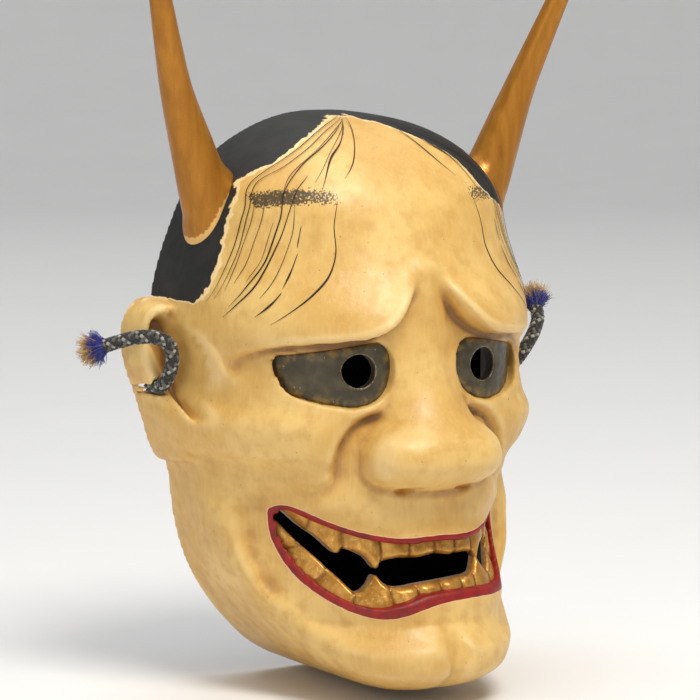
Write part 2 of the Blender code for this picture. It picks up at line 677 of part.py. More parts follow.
def cord_end(side, sheath_material, core_material):
    """The free end of the cord: out of the ear's hole, over the ear's edge, to a frayed tuft."""
    suffix = "left" if side < 0 else "right"
    way = CORD_END_LEFT if side < 0 else CORD_END_RIGHT
    line = spline([at_height(*point) for point in sided(way, side)], steps=2)
    origin = (side * CORD_HOLE[0], -CORD_LINE, CORD_HOLE[1])
    radii = [CORD_RADIUS] * (len(line) - 3) + [CORD_RADIUS + 0.3, CORD_RADIUS + 1, CORD_RADIUS + 2]
    points, faces = tube(line.tolist(), radii, SHEATH_BORE, 12)
    sheath = add_object(f"cord_sheath_{suffix}", points, faces, sheath_material, origin)
    onward = line[-1] - line[-2]
    tip = line[-1] + onward / np.linalg.norm(onward) * TUFT_LENGTH
    inner = np.concatenate([line, [line[-1] + (tip - line[-1]) * 0.25], [tip]])
    radii = [CORE_RADIUS] * len(line) + [CORE_RADIUS + 1.6, CORE_RADIUS + 2.2]
    points, faces = rod(inner.tolist(), radii, 10)
    core = add_object(f"cord_core_{suffix}", points, faces, core_material, origin)
    return sheath, core


def hanging_cord(sheath_material, core_material):
    """The stretch across the back, which swings about the line of the two ear holes."""
    half = [(x, -CORD_LINE, z) for x, z in HANGING]
    line = spline([(-x, y, z) for x, y, z in half] + half[-2::-1], steps=2).tolist()
    origin = (0, -CORD_LINE, CORD_HOLE[1])
    points, faces = tube(line, [CORD_RADIUS] * len(line), SHEATH_BORE, 10)
    add_object("hanging_cord_sheath", points, faces, sheath_material, origin)
    points, faces = rod(line, [CORE_RADIUS] * len(line), 8)
    add_object("hanging_cord_core", points, faces, core_material, origin)


def build():
    for thing in list(bpy.data.objects):
        bpy.data.objects.remove(thing)
    painted_wood = new_material("painted_wood", (0.69, 0.50, 0.25), 0.55)
    horn_gilt = new_material("horn_gilt", (0.50, 0.25, 0.05), 0.38, 0.6)
    eye_metal = new_material("eye_metal", (0.07, 0.06, 0.035), 0.4, 0.8)
    tooth_gilt = new_material("tooth_gilt", (0.55, 0.30, 0.08), 0.35, 0.7)
    braid = new_material("braid", (0.03, 0.03, 0.05), 0.9)
    yarn = new_material("yarn", (0.45, 0.36, 0.15), 0.95)
    shell = carved_shell(painted_wood)
    cut_mouth(shell)
    teeth("upper_teeth", UPPER_TEETH, tooth_gilt)
    teeth("lower_teeth", LOWER_TEETH, tooth_gilt)
    for side in (-1, 1):
        eye_plate(side, shell, eye_metal)
        horn(side, shell, horn_gilt)
        cord_end(side, braid, yarn)
    drill_cord_holes(shell)
    hanging_cord(braid, yarn)


build()
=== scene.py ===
"""Looks of a horned demon mask of the Japanese noh stage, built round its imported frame.

Lengths are in millimetres until a mesh is made, and in metres from there on. The mask faces -Y,
+Z is up, and left and right are as seen from the front. The back rim lies in the plane y = 0 and
the middle of the face is x = 0. Shapes count z from the pupils, and pieces are then placed so that
the origin is the middle of the upper back rim. A "height" is the distance forward of the back rim,
so a surface of height h lies at y = -h.
"""

import math

import bpy
import numpy as np
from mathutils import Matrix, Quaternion, Vector
from mathutils.geometry import delaunay_2d_cdt


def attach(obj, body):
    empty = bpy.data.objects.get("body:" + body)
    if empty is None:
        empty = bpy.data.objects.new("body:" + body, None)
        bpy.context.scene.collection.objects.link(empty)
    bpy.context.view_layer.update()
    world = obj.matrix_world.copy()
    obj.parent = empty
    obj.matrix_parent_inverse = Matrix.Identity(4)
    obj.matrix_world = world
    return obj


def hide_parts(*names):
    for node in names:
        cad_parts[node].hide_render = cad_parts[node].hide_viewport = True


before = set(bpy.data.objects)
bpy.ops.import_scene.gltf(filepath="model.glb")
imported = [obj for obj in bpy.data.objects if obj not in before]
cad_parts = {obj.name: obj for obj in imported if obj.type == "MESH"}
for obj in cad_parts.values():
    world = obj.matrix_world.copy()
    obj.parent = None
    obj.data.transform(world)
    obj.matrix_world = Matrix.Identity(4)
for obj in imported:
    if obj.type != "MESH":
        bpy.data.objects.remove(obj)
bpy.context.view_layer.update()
random = np.random.default_rng(7)

METRE = 0.001
RIM_ABOVE_PUPILS = 88.5  # z of the frame's origin, counted from the pupils
GAP = 0.4  # between pieces that are glued or pressed together

# Shell
WALL = 7.0  # thickness of the carved wood
PITCH = 1.15  # lattice on which the shell is carved
SHELL_TRIANGLES = 195000
GOUGE_CUTS = 420
GOUGE_RADII = (4.5, 8)  # of one cut, over x and z
GOUGE_DEPTH = 0.55
ROUND_EDGE = 4.0  # softness of the edge where the sides meet the front

# Half outlines and feature lines of the face, as (x, z), from the middle outwards
FACE = [(0, 92.5), (14, 91.6), (30, 86.5), (45, 78), (57.6, 65), (66, 48), (71.3, 33), (73.4, 20),
        (72.6, -20), (66.4, -41), (64.2, -57), (61.4, -69), (57, -80), (51, -90), (43.5, -99.5),
        (32, -110.5), (17, -118.5), (0, -121.5)]
EAR = [(62, 20), (69, 23.5), (76.5, 24.2), (82.5, 20.5), (86, 12), (85.3, 1), (82.5, -8),
       (79.5, -15.5), (76.5, -23.5), (74.6, -31), (71, -37.5), (65, -38.5), (60, -35), (58, -24),
       (60, -10), (62, 5)]
CONCHA = [(79, 16.5), (74.5, 17), (70, 10.5), (67.4, 2.5), (67, -5), (68.6, -12), (69.2, -18.5),
          (71, -19.5), (72.8, -13.5), (74.8, -6), (77.6, 2.5), (80.4, 10)]
FLAP = [(77.6, 20.5), (74, 16.5), (69.4, 11), (66.4, 4.5), (63, -1), (59, -2.4)]
BROW = [(5.9, 41), (6.3, 36.5), (8.4, 30.5), (12, 24.8), (17, 18.6), (22.4, 14.4), (28, 12.4),
        (37, 11.2), (47.6, 9.8), (58, 8.2), (66, 7)]
NOSE_CREASE = [(15.5, -17.5), (21, -17.2), (27, -20), (31.4, -26), (33, -33), (33.2, -40),
               (36.5, -43.8), (43.5, -45.9), (51, -49), (56, -54)]
LIP_GROOVE = [(51, -49), (53.5, -57), (52.5, -68), (48.5, -79), (41.5, -88.5), (31, -94.5),
              (18, -95), (6, -92)]
SMILE_RIDGE = [(52, -50), (58, -60), (57, -72), (51.5, -84), (42, -95), (30, -102), (18, -106)]
EYE = [(50.6, 4.6), (45, 6.3), (35, 8.2), (26, 9.8), (18.5, 10.2), (14.3, 6.5), (13, 0),
       (15, -6.5), (20, -11.2), (27, -13.2), (34, -12.8), (42, -11), (48.3, -8), (50.9, -2)]
# The mouth, whose right half rises more than the left: whole outlines, clockwise from the top
MOUTH = [(0, -62.4), (14, -62.6), (25, -60.8), (33, -57.8), (39, -54.6), (43.6, -52), (44.6, -54.7),
         (42.8, -61.2), (40.4, -68.2), (37.4, -74.2), (34.2, -78.9), (30, -80.7), (23, -80.5),
         (14.5, -80), (7, -79.8), (-2, -80), (-9, -80.7), (-14.5, -82.7), (-23, -85), (-30, -83.8),
         (-36, -80), (-40.6, -74.2), (-43.6, -67.2), (-45.7, -60.2), (-46.4, -53.8), (-44.3, -52),
         (-39.5, -54.4), (-33, -57.8), (-25, -60.8), (-14, -62.6)]
LIPS = [(0, -60.1), (14, -60.4), (25, -58.8), (33, -56), (39.5, -52.5), (44.6, -49.2), (46.6, -51.2),
        (46, -58.2), (44.4, -66.2), (42.6, -73.7), (41.4, -79.1), (42.4, -83.2), (45.6, -86.5),
        (39, -84.4), (30, -83.8), (22, -83.4), (13, -82.9), (4, -83.1), (-4, -84), (-11, -85.9),
        (-18, -88.1), (-24.7, -88.7), (-32, -86.5), (-38.6, -81.8), (-43, -75.8), (-45.8, -69),
        (-47.8, -62.2), (-48.6, -55.2), (-48, -51.2), (-44.6, -50.1), (-39.5, -52.7), (-33, -56),
        (-25, -58.8), (-14, -60.4)]
UPPER_TEETH = [(0, -59.8), (14, -60), (25, -58.2), (33, -55.2), (39.5, -52), (43.6, -50),
               (46.6, -50.8), (43.6, -53.8), (39.6, -58.2), (36.4, -61.4), (32, -67.1),
               (29.2, -65.6), (24.4, -68), (21.5, -72.1), (18, -69.2), (13.9, -68.4), (7, -68.6),
               (0, -67.8)]
LOWER_TEETH = [(0, -76.4), (8, -75.9), (15, -75.5), (17.4, -73.7), (20.8, -69.9), (24.4, -74.1),
               (27.6, -76), (31.5, -71), (37, -63.4), (42.4, -55.6), (46, -57.2), (45, -65.2),
               (42.6, -72.8), (38.4, -80), (33.6, -83.2), (26, -83.4), (16, -82.9), (4, -82.3),
               (-6, -83.2), (-14, -85.4), (-23, -87.4), (-31.2, -85.9), (-38, -81.8), (-43, -75.3),
               (-46.2, -68.2), (-48.2, -59.2), (-45.2, -55.8), (-40, -63.4), (-34, -71.9),
               (-28.6, -79.5), (-25.4, -77.7), (-22.3, -73.6), (-19.6, -76.4), (-15.5, -77.8),
               (-7.7, -76.9)]
# Grooves between neighbouring teeth, each from gum to edge
UPPER_GROOVES = [((0.8, -57.2), (1.2, -70.1)), ((10.2, -57.2), (9.8, -70.1)),
                 ((18.6, -56.2), (19, -71)), ((29.5, -54.2), (29.8, -68.2)),
                 ((37, -51.2), (38.6, -63.2)), ((-9, -57.2), (-9.4, -70.1)),
                 ((-19, -56.2), (-19.4, -71)), ((-29.5, -54.2), (-29.8, -68.2)),
                 ((-37, -51.2), (-38.6, -63.2))]
LOWER_GROOVES = [((1.2, -73.7), (0.6, -85.4)), ((10, -73.7), (10.4, -87.2)),
                 ((17.4, -72.8), (17, -89.2)), ((27.6, -75.5), (30, -89.2)),
                 ((33, -71), (40, -80)), ((39, -63.2), (47, -70.1)),
                 ((-8.7, -74.6), (-8.6, -87.2)), ((-18.6, -75.5), (-17.6, -89.2)),
                 ((-28.4, -78.2), (-31, -89.2)), ((-33.6, -71.9), (-40, -80)),
                 ((-39.5, -64.2), (-47, -70.1))]

# Mouth: how thick the lips are, and how far behind their front the teeth stand
LIP_DEPTH = 3.2
TOOTH_SETBACK = 4.4
TOOTH_DEPTH = 4.0
POCKET_DEPTH = 36
POCKET_SPREAD = 3.2  # how far the pocket for the teeth runs under the lips

# Eyes
PUPIL = (26.3, 0.0)
PUPIL_RADIUS = 6.1
PUPIL_BORE_RADIUS = 6.6
HOLE_SIDES = 48
PLATE_THICKNESS = 1.0
PLATE_SETBACK = 1.2
EYEBALL_HEIGHT = 78.5
EYEBALL_MIDDLE = 20.5  # x of its most forward point
PLATE_CURVE = 0.0245  # fall over the square of the distance from there

# Nostrils: flattened hollows under the nose, as (x, height, z)
NOSTRIL = (12.4, 88, -43)
NOSTRIL_RADII = (5.6, 7, 1.7)
NOSTRIL_TILT = 0.09  # how steeply it runs down, from x = NOSTRIL_LEVEL outwards
NOSTRIL_LEVEL = 12

# Horns: centre line as (x, z, height), and the radius there
HORN = [((51, 36, 17), 8.0), ((56, 49, 20), 9.4), ((60.5, 62, 22), 9.4), ((66, 78, 23.5), 8.2),
        ((73.6, 98.7, 26), 6.1), ((80, 118, 31), 4.9), ((86.5, 138, 37), 3.8),
        ((92, 154, 42.5), 2.6), ((96, 167, 46), 1.1)]
HORN_SIDES = 64
HORN_SINK = 1.4  # how far a horn's foot goes into the wood

# Hair, painted: its front edge, and brush strokes ahead of it as (x, z) with their widths
HAIRLINE_RIGHT = [(0, 90.8), (5, 88), (12, 84.4), (21.7, 79.3), (29, 73.6), (34.5, 66), (41, 60.5),
                  (50, 56), (57, 50.5), (61.8, 41.5), (65.8, 30.5), (69.3, 22.5), (72, 17), (80, 12)]
HAIRLINE = [(0, 91.6), (9, 90.3), (19, 87), (31.8, 81), (41.5, 74.7), (51.6, 68.6), (55.2, 62.8),
            (59, 52.5), (61.8, 41.5), (65.8, 30.5), (69.3, 22.5), (72, 17), (80, 12)]
STROKES = [
    (0.22, [(7.8, 90.4), (20, 86.4), (32.2, 80), (50.6, 67.8), (55.4, 56.4), (59.2, 43.4), (67.6, 24)]),
    (0.2, [(7.4, 90), (20, 85.2), (30, 79.6), (40.7, 73), (50.4, 66.6), (54.4, 56.4), (58.2, 42.8),
           (66.2, 25)]),
    (0.16, [(7.1, 89.7), (17, 85.2), (27.3, 79.2), (40, 70.4), (45.6, 62)]),
    (0.33, [(11.1, 88.1), (25.9, 79.6), (36.1, 73), (44, 64.2), (47.1, 53.4), (52.1, 39.8),
           (59.1, 29.5), (63.6, 22.6)]),
    (0.34, [(35.7, 69.6), (40.6, 64.3), (44, 57.1), (48, 46), (54.8, 33.2), (61.6, 23.9), (65, 18.7)]),
    (0.2, [(42.3, 59.4), (44.3, 48), (49.9, 35.3), (56.4, 26.1)]),
    (0.28, [(41.2, 52), (43.2, 44)]),
    (0.41, [(43.4, 42), (46.5, 35.5), (50, 29.8)]),
    (0.44, [(50.6, 28.4), (53.6, 24.6), (58.4, 19.4)]),
    (0.46, [(28.8, 60.8), (31.2, 52), (31.9, 42.7), (35.6, 34.5), (42.3, 27.8), (48.4, 22.6),
           (55, 17)]),
    (0.46, [(8.9, 89.2), (18.3, 81.1), (26.2, 74.6), (33.6, 63.3)]),
    (0.33, [(6.2, 89.9), (10.7, 84.1), (17.8, 74.4), (23.5, 68.7)]),
    (0.15, [(52.2, 61.3), (54.5, 51.8), (58.9, 39.3), (63.8, 28.2)]),
    (0.16, [(49.8, 61.5), (52.1, 52), (56.6, 39.5), (61.3, 31)]),
    (0.13, [(48.8, 52.9), (53, 40.4), (58.4, 31.9)]),
    (0.17, [(9.4, 88.6), (23, 78.8), (34, 67.5)]),
]
SMUDGE = [(53.5, 60), (47, 61.5), (38, 62.3), (30, 61.8), (26.5, 61)]  # the false brow

# Cord
CORD_RADIUS = 2.75
CORD_HOLE = (76.4, -8.7)
CORD_HOLE_RADIUS = 3.3
CORD_LINE = 3.5  # height of the cord across the back
BRAID_LAY = 13.0  # length over which a strand goes once round
STRAND_HALF_WIDTH = 0.66
STRAND_HALF_THICKNESS = 0.36
FIBRE_POINTS = 7
BRAID_FIBRES = 620  # loose ones at a frayed end
YARN_ENDS = 9
YARN_FIBRES = 44  # in each end
GROOVE_RADIUS = 3.6
GROOVE_END = 58  # x of its inner end
CORD_END_LEFT = [(76.4, -8.7, 8), (76.4, -8.7, 14), (76.6, -8, 18.6), (75.6, -3.5, 22),
                 (75, 2.2, 23.6), (77, 8, 24.2), (82.4, 10.6, 23.4), (88, 10.4, 19.8),
                 (92.6, 8.6, 14.6), (97, 6.6, 10)]
CORD_END_RIGHT = [(76.4, -8.7, 8), (76.4, -8.7, 14), (76.6, -8, 18.6), (77.6, -4.6, 22.2),
                  (80.2, 0.4, 24), (83.2, 5.2, 24), (85.8, 9.9, 22.2), (86.6, 14.4, 19)]
HANGING = [(75, -8.7), (62, -8.7), (55.5, -6), (52.5, 2), (50, 14), (44, 30), (33, 43), (17, 51),
           (0, 53.5)]


# ---------------------------------------------------------------- curves and fields

def curve(at, points):
    """A smooth curve through (position, value) points that never overshoots them."""
    table = np.array(sorted(points), float)
    x = table[:, 0]
    y = table[:, 1]
    width = np.diff(x)
    slope = np.diff(y) / width
    tangent = np.zeros_like(y)
    before = 2 * width[1:] + width[:-1]
    after = width[1:] + 2 * width[:-1]
    level = slope[:-1] * slope[1:] <= 0
    first = np.where(level, 1, slope[:-1])
    second = np.where(level, 1, slope[1:])
    mean = (before + after) / (before / first + after / second)
    tangent[1:-1] = np.where(level, 0, mean)
    tangent[0] = slope[0]
    tangent[-1] = slope[-1]
    at = np.clip(at, x[0], x[-1])
    i = np.clip(np.searchsorted(x, at) - 1, 0, len(x) - 2)
    t = (at - x[i]) / width[i]
    value = y[i] * (1 + 2 * t) * (1 - t) ** 2 + tangent[i] * width[i] * t * (1 - t) ** 2
    return value + y[i + 1] * t * t * (3 - 2 * t) + tangent[i + 1] * width[i] * t * t * (t - 1)


def step(start, end, value):
    """0 at start, 1 at end, smooth between."""
    t = np.clip((value - start) / (end - start), 0, 1)
    return t * t * (3 - 2 * t)


def smooth_max(a, b, blend):
    return (a + b + np.sqrt((a - b) ** 2 + blend * blend)) / 2


def bump(x, z, centre, radii):
    """A round swelling of height 1."""
    return np.exp(-((x - centre[0]) / radii[0]) ** 2 - ((z - centre[1]) / radii[1]) ** 2)


def spline(points, closed=False, steps=6):
    """Points along a Catmull-Rom curve through the given ones."""
    knots = np.array(points, float)
    count = len(knots)
    if closed:
        padded = np.concatenate([knots[-1:], knots, knots[:2]])
        spans = count
    else:
        head = 2 * knots[:1] - knots[1:2]
        tail = 2 * knots[-1:] - knots[-2:-1]
        padded = np.concatenate([head, knots, tail])
        spans = count - 1
    t = (np.arange(steps) / steps)[:, None]
    line = []
    for i in range(spans):
        a, b, c, d = padded[i:i + 4]
        line.append(b + 0.5 * t * (c - a + t * (2 * a - 5 * b + 4 * c - d)
                                   + t * t * (3 * b - a - 3 * c + d)))
    if not closed:
        line.append(knots[-1:])
    return np.concatenate(line)


def nearest(x, z, line):
    """For each point: its distance to the line, its side (1 left, -1 right), how far along."""
    best = np.full(x.shape, np.inf)
    side = np.ones(x.shape)
    along = np.zeros(x.shape)
    for i, (start, end) in enumerate(zip(line[:-1], line[1:])):
        run = end - start
        t = np.clip(((x - start[0]) * run[0] + (z - start[1]) * run[1]) / (run @ run), 0, 1)
        off_x = x - start[0] - t * run[0]
        off_z = z - start[1] - t * run[1]
        distance = np.hypot(off_x, off_z)
        closer = distance < best
        best = np.where(closer, distance, best)
        side = np.where(closer, np.sign(run[0] * off_z - run[1] * off_x), side)
        along = np.where(closer, (i + t) / (len(line) - 1), along)
    return best, side, along


def stroke(x, z, points):
    """Signed distance to a smooth open line, positive on its left, and how far along, 0 to 1."""
    distance, side, along = nearest(x, z, spline(points))
    return distance * side, along


def region(x, z, points):
    """Signed distance to a smooth closed outline, negative inside."""
    line = spline(points, closed=True)
    line = np.concatenate([line, line[:1]])
    distance = nearest(x, z, line)[0]
    inside = np.zeros(x.shape, bool)
    for start, end in zip(line[:-1], line[1:]):
        if start[1] == end[1]:
            continue
        crosses = (start[1] > z) != (end[1] > z)
        at = start[0] + (z - start[1]) * (end[0] - start[0]) / (end[1] - start[1])
        inside ^= crosses & (x < at)
    return np.where(inside, -distance, distance)


def mirrored(half):
    """The closed outline whose +X half this is. Both its ends are on the middle."""
    return half + [(-x, z) for x, z in half[-2:0:-1]]


# ---------------------------------------------------------------- the carved face

def dome(x, depth, half_width, power):
    """A section across the head: depth in the middle, falling to 0 at the half width."""
    ratio = np.clip(x / half_width, 0, 1)
    return depth * (1 - ratio ** power) ** (1 / power)


def forehead(x, z):
    depth = curve(z, [(0, 88), (8.5, 89), (12, 93), (15, 93), (20, 91.2), (27, 86.5), (35, 80.6),
                      (41, 77.8), (50, 74), (62, 68.3), (70, 62.5), (78, 54), (84, 45), (88.5, 35),
                      (91, 26), (92.5, 18)])
    half_width = curve(z, [(0, 74), (25, 74), (41, 71), (48, 68.5), (65, 61), (78, 50), (87, 38),
                           (92.5, 30)])
    power = curve(z, [(0, 2), (41, 2), (62, 2.4), (80, 2.7), (92, 3)])
    return dome(x, depth, half_width, power)


def lower_face(x, z):
    """Jaw and cheeks, with the muzzle and the chin standing out of them."""
    depth = curve(z, [(-122, 46), (-115, 50), (-100, 60), (-85, 63), (-75, 62), (-60, 57),
                      (-50, 57), (-38, 60), (-28, 65), (-20, 70), (-10, 75), (0, 76), (20, 77),
                      (35, 80)])
    half_width = curve(z, [(-122, 50), (-112, 56), (-100, 62), (-90, 66), (-82, 69), (-71, 72),
                           (-56, 74), (-42, 72.5), (-30, 70.5), (-10, 69.8), (4, 70.2), (14, 72),
                           (35, 73)])
    power = curve(z, [(-122, 2.6), (-60, 2.6), (-45, 2.3), (-30, 2.4), (-20, 2.6), (-8, 2.5),
                      (4, 2.25), (14, 2), (35, 2)])
    jaw = dome(x, depth, half_width, power)
    ridge = curve(z, [(-124, 50), (-121, 68), (-118, 84), (-114, 95), (-108, 102.5), (-101, 103.5),
                      (-95, 99), (-90, 95), (-85, 95), (-80, 93.5), (-70, 89.5), (-63, 88),
                      (-55, 85.5), (-46, 84.5), (-38, 83.5), (-30, 82), (-20, 80), (-14, 77),
                      (-8, 71), (-2, 62)])
    fall = curve(z, [(-121, 34), (-110, 32), (-100, 30), (-88, 25), (-78, 27), (-60, 28),
                     (-50, 20), (-43, 16.4), (-38, 15), (-30, 9.8), (-20, 8), (-8, 10)])
    power = curve(z, [(-121, 2.6), (-88, 2.55), (-60, 2.5), (-45, 3), (0, 3)])
    muzzle = ridge - fall * (x / 40) ** power
    return smooth_max(jaw, muzzle, 4)


def nose(x, z):
    top = curve(z, [(-48, 68), (-46, 77), (-44, 86), (-41, 93.5), (-37, 98.5), (-32, 100.6),
                    (-27, 99.6), (-20, 94.8), (-12, 88.8), (-4, 85), (4, 83), (14, 82.3),
                    (24, 82), (34, 81), (38, 79.5)])
    foot = curve(z, [(-48, 66), (-42, 73), (-32, 76), (-24, 78), (-14, 77), (0, 73), (20, 70),
                     (30, 74), (38, 79)])
    half_width = curve(z, [(-48, 10), (-46, 16), (-44, 20.5), (-41, 24.4), (-37, 27), (-32, 27.8),
                           (-27, 26.8), (-23, 24.2), (-19, 20.5), (-12, 16), (-4, 14), (6, 13),
                           (20, 12), (30, 10), (38, 9)])
    power = curve(z, [(-44, 2.2), (-34, 2.9), (-26, 2.7), (-15, 1.8), (0, 1.7), (30, 1.7)])
    ratio = x / half_width
    section = (1 - np.clip(ratio, 0, 1) ** power) ** (1 / power)
    return foot + (top - foot) * section - 40 * np.clip(ratio - 1, 0, 9)


def carve_line(height, x, z, points, depth, width):
    """The height with a groove along a line. depth and width are curves of how far along."""
    distance, along = stroke(x, z, points)
    return height - curve(along, depth) * np.exp(-(distance / curve(along, width)) ** 2)


def with_brow(height, x, z):
    """The forehead laid over the eyes, ending in a ledge that fades into the bridge."""
    distance, along = stroke(x, z, BROW)
    width = curve(along, [(0, 1.6), (0.08, 2.4), (0.2, 4.4), (0.36, 3), (0.5, 1.2), (0.8, 1.3),
                          (0.9, 4), (1, 14)])
    mix = step(-1, 0, distance / width)
    mix = mix + (1 - mix) * step(35, 41, z)
    edge = np.exp(-((distance - 0.8) / 2.2) ** 2) * step(0.06, 0.3, along) * step(0.95, 0.8, along)
    return height + (forehead(x, z) - height) * mix + 0.5 * edge


def with_ear(height, x, z):
    rim = region(x, z, EAR)
    ear = 14 + 0.3 * (84 - x) + 2.6 * np.exp(-((rim + 3.6) / 3) ** 2)
    ear = ear - 5 * step(-2.6, 0.4, rim) - 70 * step(0, 7, rim)
    ear = ear + 8 * bump(x, z, (65, -29), (8.5, 9))
    height = smooth_max(height, ear, 2)
    distance, along = stroke(x, z, FLAP)
    lift = curve(along, [(0, 0.3), (0.3, 1.8), (0.7, 3), (0.9, 2), (1, 0)])
    fold = np.exp(-(np.maximum(distance - 1.5, 0) / 5) ** 2) * step(-1.6, 0.6, distance)
    height = height + lift * fold
    floor = 10.5 + 6 * step(0, -20, z)
    inside = step(0.8, -2.6, region(x, z, CONCHA))
    return height + (np.minimum(height, floor) - height) * inside


def relief(x, z):
    """Height of the outer surface over a point of the back plane."""
    across = x
    x = np.abs(x)
    height = lower_face(x, z)
    height = height + 6 * bump(x, z, (27, -1), (17, 14)) + 3 * bump(x, z, (56, -18), (13, 12))
    height = smooth_max(height, nose(x, z), 2)
    height = carve_line(height, x, z, NOSE_CREASE,
                        [(0, 0), (0.1, 4.4), (0.4, 5), (0.6, 3.8), (0.8, 2.5), (1, 0)],
                        [(0, 2), (0.5, 2.8), (1, 5)])
    height = carve_line(height, x, z, LIP_GROOVE,
                        [(0, 1), (0.15, 4), (0.4, 5), (0.6, 4), (0.8, 2.2), (1, 0)],
                        [(0, 5), (1, 5)])
    height = carve_line(height, x, z, SMILE_RIDGE,
                        [(0, 0), (0.3, -2.4), (0.6, -2.8), (0.85, -1.2), (1, 0)], [(0, 5), (1, 6)])
    height = with_brow(height, x, z)
    height = height - 4 * bump(x, z, (0, -100), (4.6, 4.6)) - 3.2 * bump(x, z, (0, -110), (2.8, 7))
    lip = region(across, z, MOUTH)
    height = height + 0.5 * np.exp(-((lip - 1.6) / 1.4) ** 2)
    lid = region(x, z, EYE)
    height = height + 0.8 * np.exp(-((lid - 1.6) / 1.6) ** 2) * step(9, 2, z)
    return with_ear(height, x, z)


def worn_down(height, radius, pitch):
    """The height field offset inwards by a radius: where a ball of that radius just fits."""
    reach = int(radius / pitch)
    result = height.copy()
    for i in range(-reach, reach + 1):
        for j in range(-reach, reach + 1):
            spread = radius ** 2 - (i * i + j * j) * pitch ** 2
            if spread < 0:
                continue
            moved = np.roll(height, (i, j), axis=(0, 1))
            result = np.minimum(result, moved - math.sqrt(spread))
    return result


def surface_net(field, corner, pitch):
    """Points and quads round the zero level of a field on a lattice. Negative is inside."""
    inside = field < 0
    cells_along = [size - 1 for size in field.shape]
    corners = [(i, j, k) for i in (0, 1) for j in (0, 1) for k in (0, 1)]
    count = np.zeros(cells_along, np.int8)
    for i, j, k in corners:
        count += inside[i:i + cells_along[0], j:j + cells_along[1], k:k + cells_along[2]]
    cells = np.argwhere((count > 0) & (count < 8))
    index = np.full(cells_along, -1, np.int32)
    index[tuple(cells.T)] = np.arange(len(cells))
    value = {c: field[tuple((cells + c).T)] for c in corners}
    total = np.zeros((len(cells), 3))
    hits = np.zeros((len(cells), 1))
    for start in corners:
        for axis in range(3):
            if start[axis]:
                continue
            end = tuple(v + (n == axis) for n, v in enumerate(start))
            crossed = (value[start] < 0) != (value[end] < 0)
            change = np.where(crossed, value[start] - value[end], 1)
            point = np.tile(np.array(start, float), (len(cells), 1))
            point[:, axis] += value[start] / change
            total += point * crossed[:, None]
            hits += crossed[:, None]
    points = (cells + total / hits) * pitch + corner
    quads = []
    for axis in range(3):
        across = (axis + 1) % 3
        up = (axis + 2) % 3
        below = np.moveaxis(inside, axis, 0)[:-1]
        above = np.moveaxis(inside, axis, 0)[1:]
        found = np.argwhere(below != above)
        solid_below = below[tuple(found.T)]
        edges = np.empty_like(found)
        others = [n for n in range(3) if n != axis]
        edges[:, axis] = found[:, 0]
        edges[:, others[0]] = found[:, 1]
        edges[:, others[1]] = found[:, 2]
        ring = []
        for back, down in ((-1, -1), (0, -1), (0, 0), (-1, 0)):
            cell = edges.copy()
            cell[:, across] += back
            cell[:, up] += down
            ring.append(index[tuple(cell.T)])
        quad = np.stack(ring, axis=1)
        quad[~solid_below] = quad[~solid_below][:, ::-1]
        quads.append(quad)
    return points, np.concatenate(quads)


def grown(outline, distance):
    """A smooth closed outline moved outwards by a distance."""
    edge = spline(outline, closed=True, steps=2)
    ahead = np.roll(edge, -1, axis=0)
    run = ahead - np.roll(edge, 1, axis=0)
    area = (edge[:, 0] * ahead[:, 1] - edge[:, 1] * ahead[:, 0]).sum()
    outwards = np.stack([run[:, 1], -run[:, 0]], axis=1) * np.sign(area)
    return edge + distance * outwards / np.linalg.norm(outwards, axis=1, keepdims=True)


def rings_along(path, radii, segments):
    """Circles of points round a path of 3-D points, turned as little as possible on the way."""
    centres = [Vector(point) for point in path]
    tangent = (centres[1] - centres[0]).normalized()
    side = tangent.orthogonal().normalized()
    rings = []
    for i, centre in enumerate(centres):
        ahead = centres[min(i + 1, len(centres) - 1)] - centres[max(i - 1, 0)]
        ahead.normalize()
        side = tangent.rotation_difference(ahead) @ side
        tangent = ahead
        turn = Quaternion(tangent, 2 * math.pi / segments)
        arm = side * radii[i]
        ring = []
        for _ in range(segments):
            ring.append(tuple(centre + arm))
            arm = turn @ arm
        rings.append(ring)
    return rings


def skin(rings, segments):
    """Quads between neighbouring rings, whose points are numbered in order."""
    faces = []
    for i in range(len(rings) - 1):
        for j in range(segments):
            a = i * segments + j
            b = i * segments + (j + 1) % segments
            faces.append((a, b, b + segments, a + segments))
    return faces


def closed_skin(rings, segments, base=0):
    """The faces of a tube whose points are numbered from base on, with both its ends closed."""
    last = (len(rings) - 1) * segments
    faces = skin(rings, segments)
    faces.append(tuple(range(segments - 1, -1, -1)))
    faces.append(tuple(range(last, last + segments)))
    return [tuple(base + i for i in face) for face in faces]


def sided(points, side):
    """(x, z, ...) points put on one side of the face: -1 left, 1 right."""
    return [(side * point[0], *point[1:]) for point in points]


def blurred(height, radius, pitch):
    """The height field averaged over a disc-like neighbourhood of that radius."""
    reach = max(1, int(2 * radius / pitch))
    weight = np.exp(-(np.arange(-reach, reach + 1) * pitch / radius) ** 2)
    weight /= weight.sum()
    for axis in (0, 1):
        padded = np.pad(height, [(reach, reach) if n == axis else (0, 0) for n in (0, 1)], "edge")
        height = sum(w * np.take(padded, range(i, i + height.shape[axis]), axis)
                     for i, w in enumerate(weight))
    return height


def sampled(grid, corner, pitch, x, z):
    """Bilinear values of a lattice over (x, z)."""
    i = np.clip((x - corner[0]) / pitch, 0, grid.shape[0] - 1.001)
    j = np.clip((z - corner[1]) / pitch, 0, grid.shape[1] - 1.001)
    a = i.astype(int)
    b = j.astype(int)
    i = i - a
    j = j - b
    low = grid[a, b] * (1 - i) + grid[a + 1, b] * i
    return low * (1 - j) + (grid[a, b + 1] * (1 - i) + grid[a + 1, b + 1] * i) * j


# ---------------------------------------------------------------- materials

